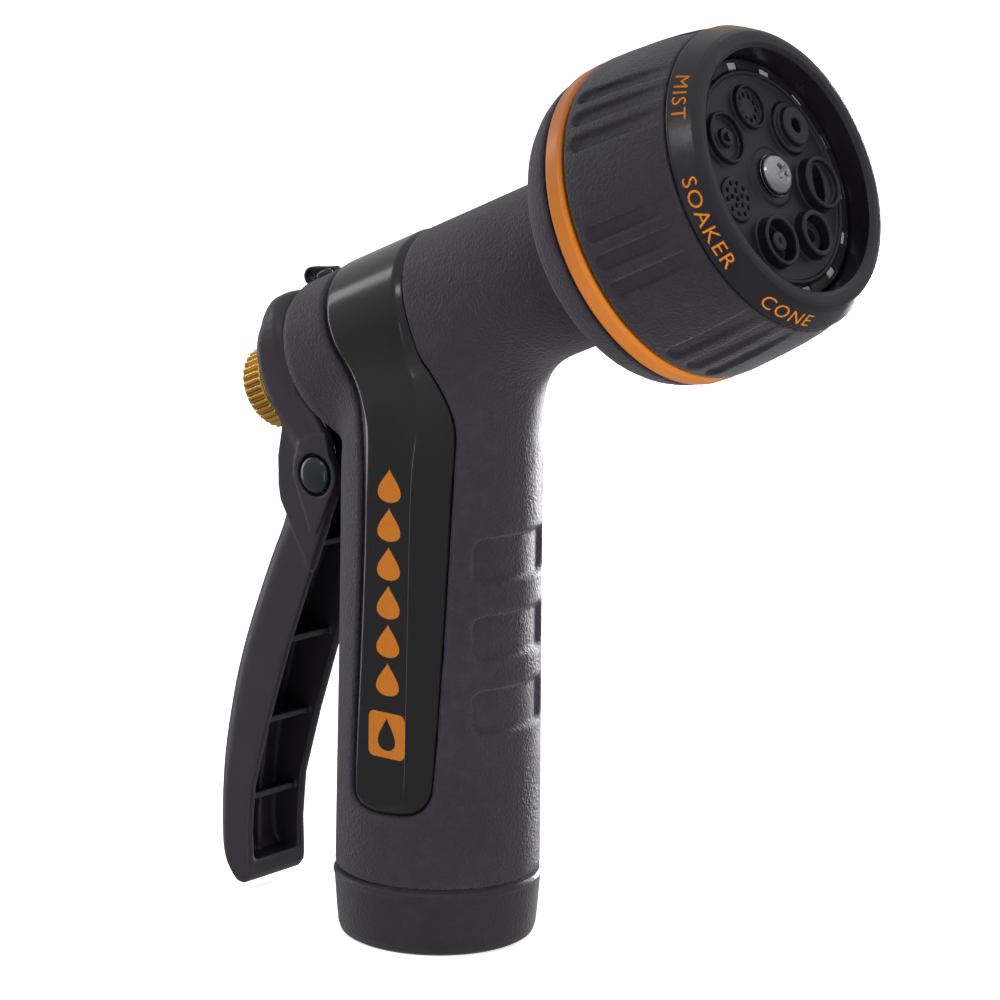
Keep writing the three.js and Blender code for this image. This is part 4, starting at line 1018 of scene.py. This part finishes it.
def on_panel(side, u, v, lift):
    hit, nrm, _i, _d = tree.ray_cast(Vector((u, side * 40, v)), Vector((0, -side, 0)))
    if hit is None:
        hit, nrm = Vector((u, side * 18.5, v)), Vector((0, side, 0))
    if nrm.y * side < 0:
        nrm = -nrm
    q = hit + Vector((0, side, 0)) * lift
    return (q.x, q.y, q.z)


def drop_shape(cx, cz, w, hgt, n=26):
    out = []
    for i in range(n):
        t = 2 * math.pi * i / n
        k = max(0.0, math.sin(t / 2)) ** 1.6
        out.append((cx + w / 2 * math.sin(t) * k * 1.08, cz + hgt / 2 * math.cos(t)))
    return out


def round_rect(cx, cz, w, hgt, r, n=6):
    out = []
    for sx, sz, a0 in ((1, 1, 0), (-1, 1, 90), (-1, -1, 180), (1, -1, 270)):
        for i in range(n + 1):
            a = math.radians(a0 + 90 * i / n)
            out.append((cx + sx * (w / 2 - r) + r * math.cos(a), cz + sz * (hgt / 2 - r) + r * math.sin(a)))
    return out


shapes = [round_rect(3.2, 40.2, 8.2, 8.2, 1.2), drop_shape(3.2, 40.4, 5.4, 6.0)]
for i in range(6):
    shapes.append(drop_shape(3.3, 50.3 + 6.9 * i, 7.0, 5.9))
me = flat_outline(shapes)
for side in (-1, 1):
    ob = wrap_print("panel_print_" + ("right" if side < 0 else "left"), me, lambda u, v, l, q=side: on_panel(q, u, v, l), np.arange(-1.5, 8, 0.45), np.arange(34, 92, 1.2), 0.04)
    piece(ob, "root", "orange_plastic", M_INK)

# ------------------------------------------------------------------ camera
A, E, RHO = math.radians(38.33), math.radians(10.96), math.radians(0.88)
F_PX, DIST, TX, TZ = 3500.0, 614.79, 13.14, 80.98
v = Vector((math.sin(A) * math.cos(E), -math.cos(A) * math.cos(E), math.sin(E)))
r = Vector((math.cos(A), math.sin(A), 0))
u = Vector((-math.sin(A) * math.sin(E), math.cos(A) * math.sin(E), math.cos(E)))
r2 = r * math.cos(RHO) + u * math.sin(RHO)
u2 = -r * math.sin(RHO) + u * math.cos(RHO)
cam_data = bpy.data.cameras.new("camera")
cam_data.sensor_width = 36.0
cam_data.lens = F_PX / 1000 * 36.0
cam_data.clip_start = 0.01
cam_data.clip_end = 20
cam = bpy.data.objects.new("camera", cam_data)
scene.collection.objects.link(cam)
m = Matrix.Identity(4)
for i, axis in enumerate((r2, u2, v)):
    for j in range(3):
        m[j][i] = axis[j]
C = (Vector((TX, 0, TZ)) + v * DIST) * MM
m.translation = C
cam.matrix_world = m
scene.camera = cam

# ------------------------------------------------------------------ floor, backdrop, light
fl = []
NB_ = 40
rows = []
prof_ = [(0.9, 0.0), (0.0, 0.0), (-1.0, 0.0)] + [(-1.0 - 0.8 * math.sin(math.radians(q)), 0.8 - 0.8 * math.cos(math.radians(q))) for q in range(9, 91, 9)] + [(-1.8, 3.2)]
back = Vector((-v.x, -v.y, 0)).normalized()
side_ = Vector((-back.y, back.x, 0))
verts, faces = [], []
for i, (d, hgt) in enumerate(prof_):
    for q in (-3.0, 3.0):
        pnt = back * (-d) + side_ * q
        verts.append((pnt.x / MM, pnt.y / MM, hgt / MM))
for i in range(len(prof_) - 1):
    faces.append([2 * i, 2 * i + 1, 2 * i + 3, 2 * i + 2])
floor = new_mesh("studio_floor", np.array(verts), faces)
mf = Mat("studio_paper", (0.93, 0.93, 0.93), 0.85)
mf.color(mf.mix(mf.range(mf.noise(3, 3, 0.5), 0.3, 0.7, 0, 1), (0.92, 0.92, 0.92), (0.94, 0.94, 0.94)))
finish_with(floor, mf)
floor.visible_glossy = False
mf.b.inputs["Emission Color"].default_value = (1, 1, 1, 1)
mf.b.inputs["Emission Strength"].default_value = 0.55

w = bpy.data.worlds.new("studio")
scene.world = w
w.use_nodes = True
bg = w.node_tree.nodes["Background"]
wt = w.node_tree
wc = wt.nodes.new("ShaderNodeTexCoord")
wx = wt.nodes.new("ShaderNodeSeparateXYZ")
wr = wt.nodes.new("ShaderNodeMapRange")
wt.links.new(wc.outputs["Generated"], wx.inputs[0])
wt.links.new(wx.outputs["Z"], wr.inputs["Value"])
for k, q in (("From Min", -0.25), ("From Max", 0.75), ("To Min", 0.34), ("To Max", 0.74)):
    wr.inputs[k].default_value = q
bg.inputs["Color"].default_value = (1, 1, 1, 1)
wt.links.new(wr.outputs["Result"], bg.inputs["Strength"])


def area(name, az, el, dist, size, power, size_y=None, aim=(0.012, 0, 0.09), color=(1, 1, 1), gloss=True):
    """Soft light in a direction given from the camera's own azimuth; az to the right, el up."""
    a = A + math.radians(az)
    e = math.radians(el)
    d = Vector((math.sin(a) * math.cos(e), -math.cos(a) * math.cos(e), math.sin(e)))
    L = bpy.data.lights.new(name, "AREA")
    L.energy = power
    L.color = color
    L.shape = "RECTANGLE"
    L.size = size
    L.size_y = size_y or size
    o = bpy.data.objects.new(name, L)
    scene.collection.objects.link(o)
    o.location = Vector(aim) + d * dist
    o.visible_glossy = gloss
    o.rotation_euler = d.to_track_quat("Z", "Y").to_euler()
    return o


area("key_left", -48, 36, 0.95, 0.5, 2.3, gloss=False)
area("fill_right", 32, 3, 1.0, 0.5, 13.0, 0.4, gloss=False)
area("top", -20, 78, 0.9, 0.6, 0.8, gloss=False)
area("sparkle", -30, 48, 1.0, 0.16, 0.6)
area("strip_left", -118, 8, 0.85, 0.16, 1.2, 0.8)
area("strip_right", 150, -1, 0.85, 0.24, 14.0, 0.4)
area("card_front", -27, -9, 1.0, 0.14, 0.5, 0.5)
scene.view_settings.view_transform = "Standard"
scene.view_settings.look = "None"

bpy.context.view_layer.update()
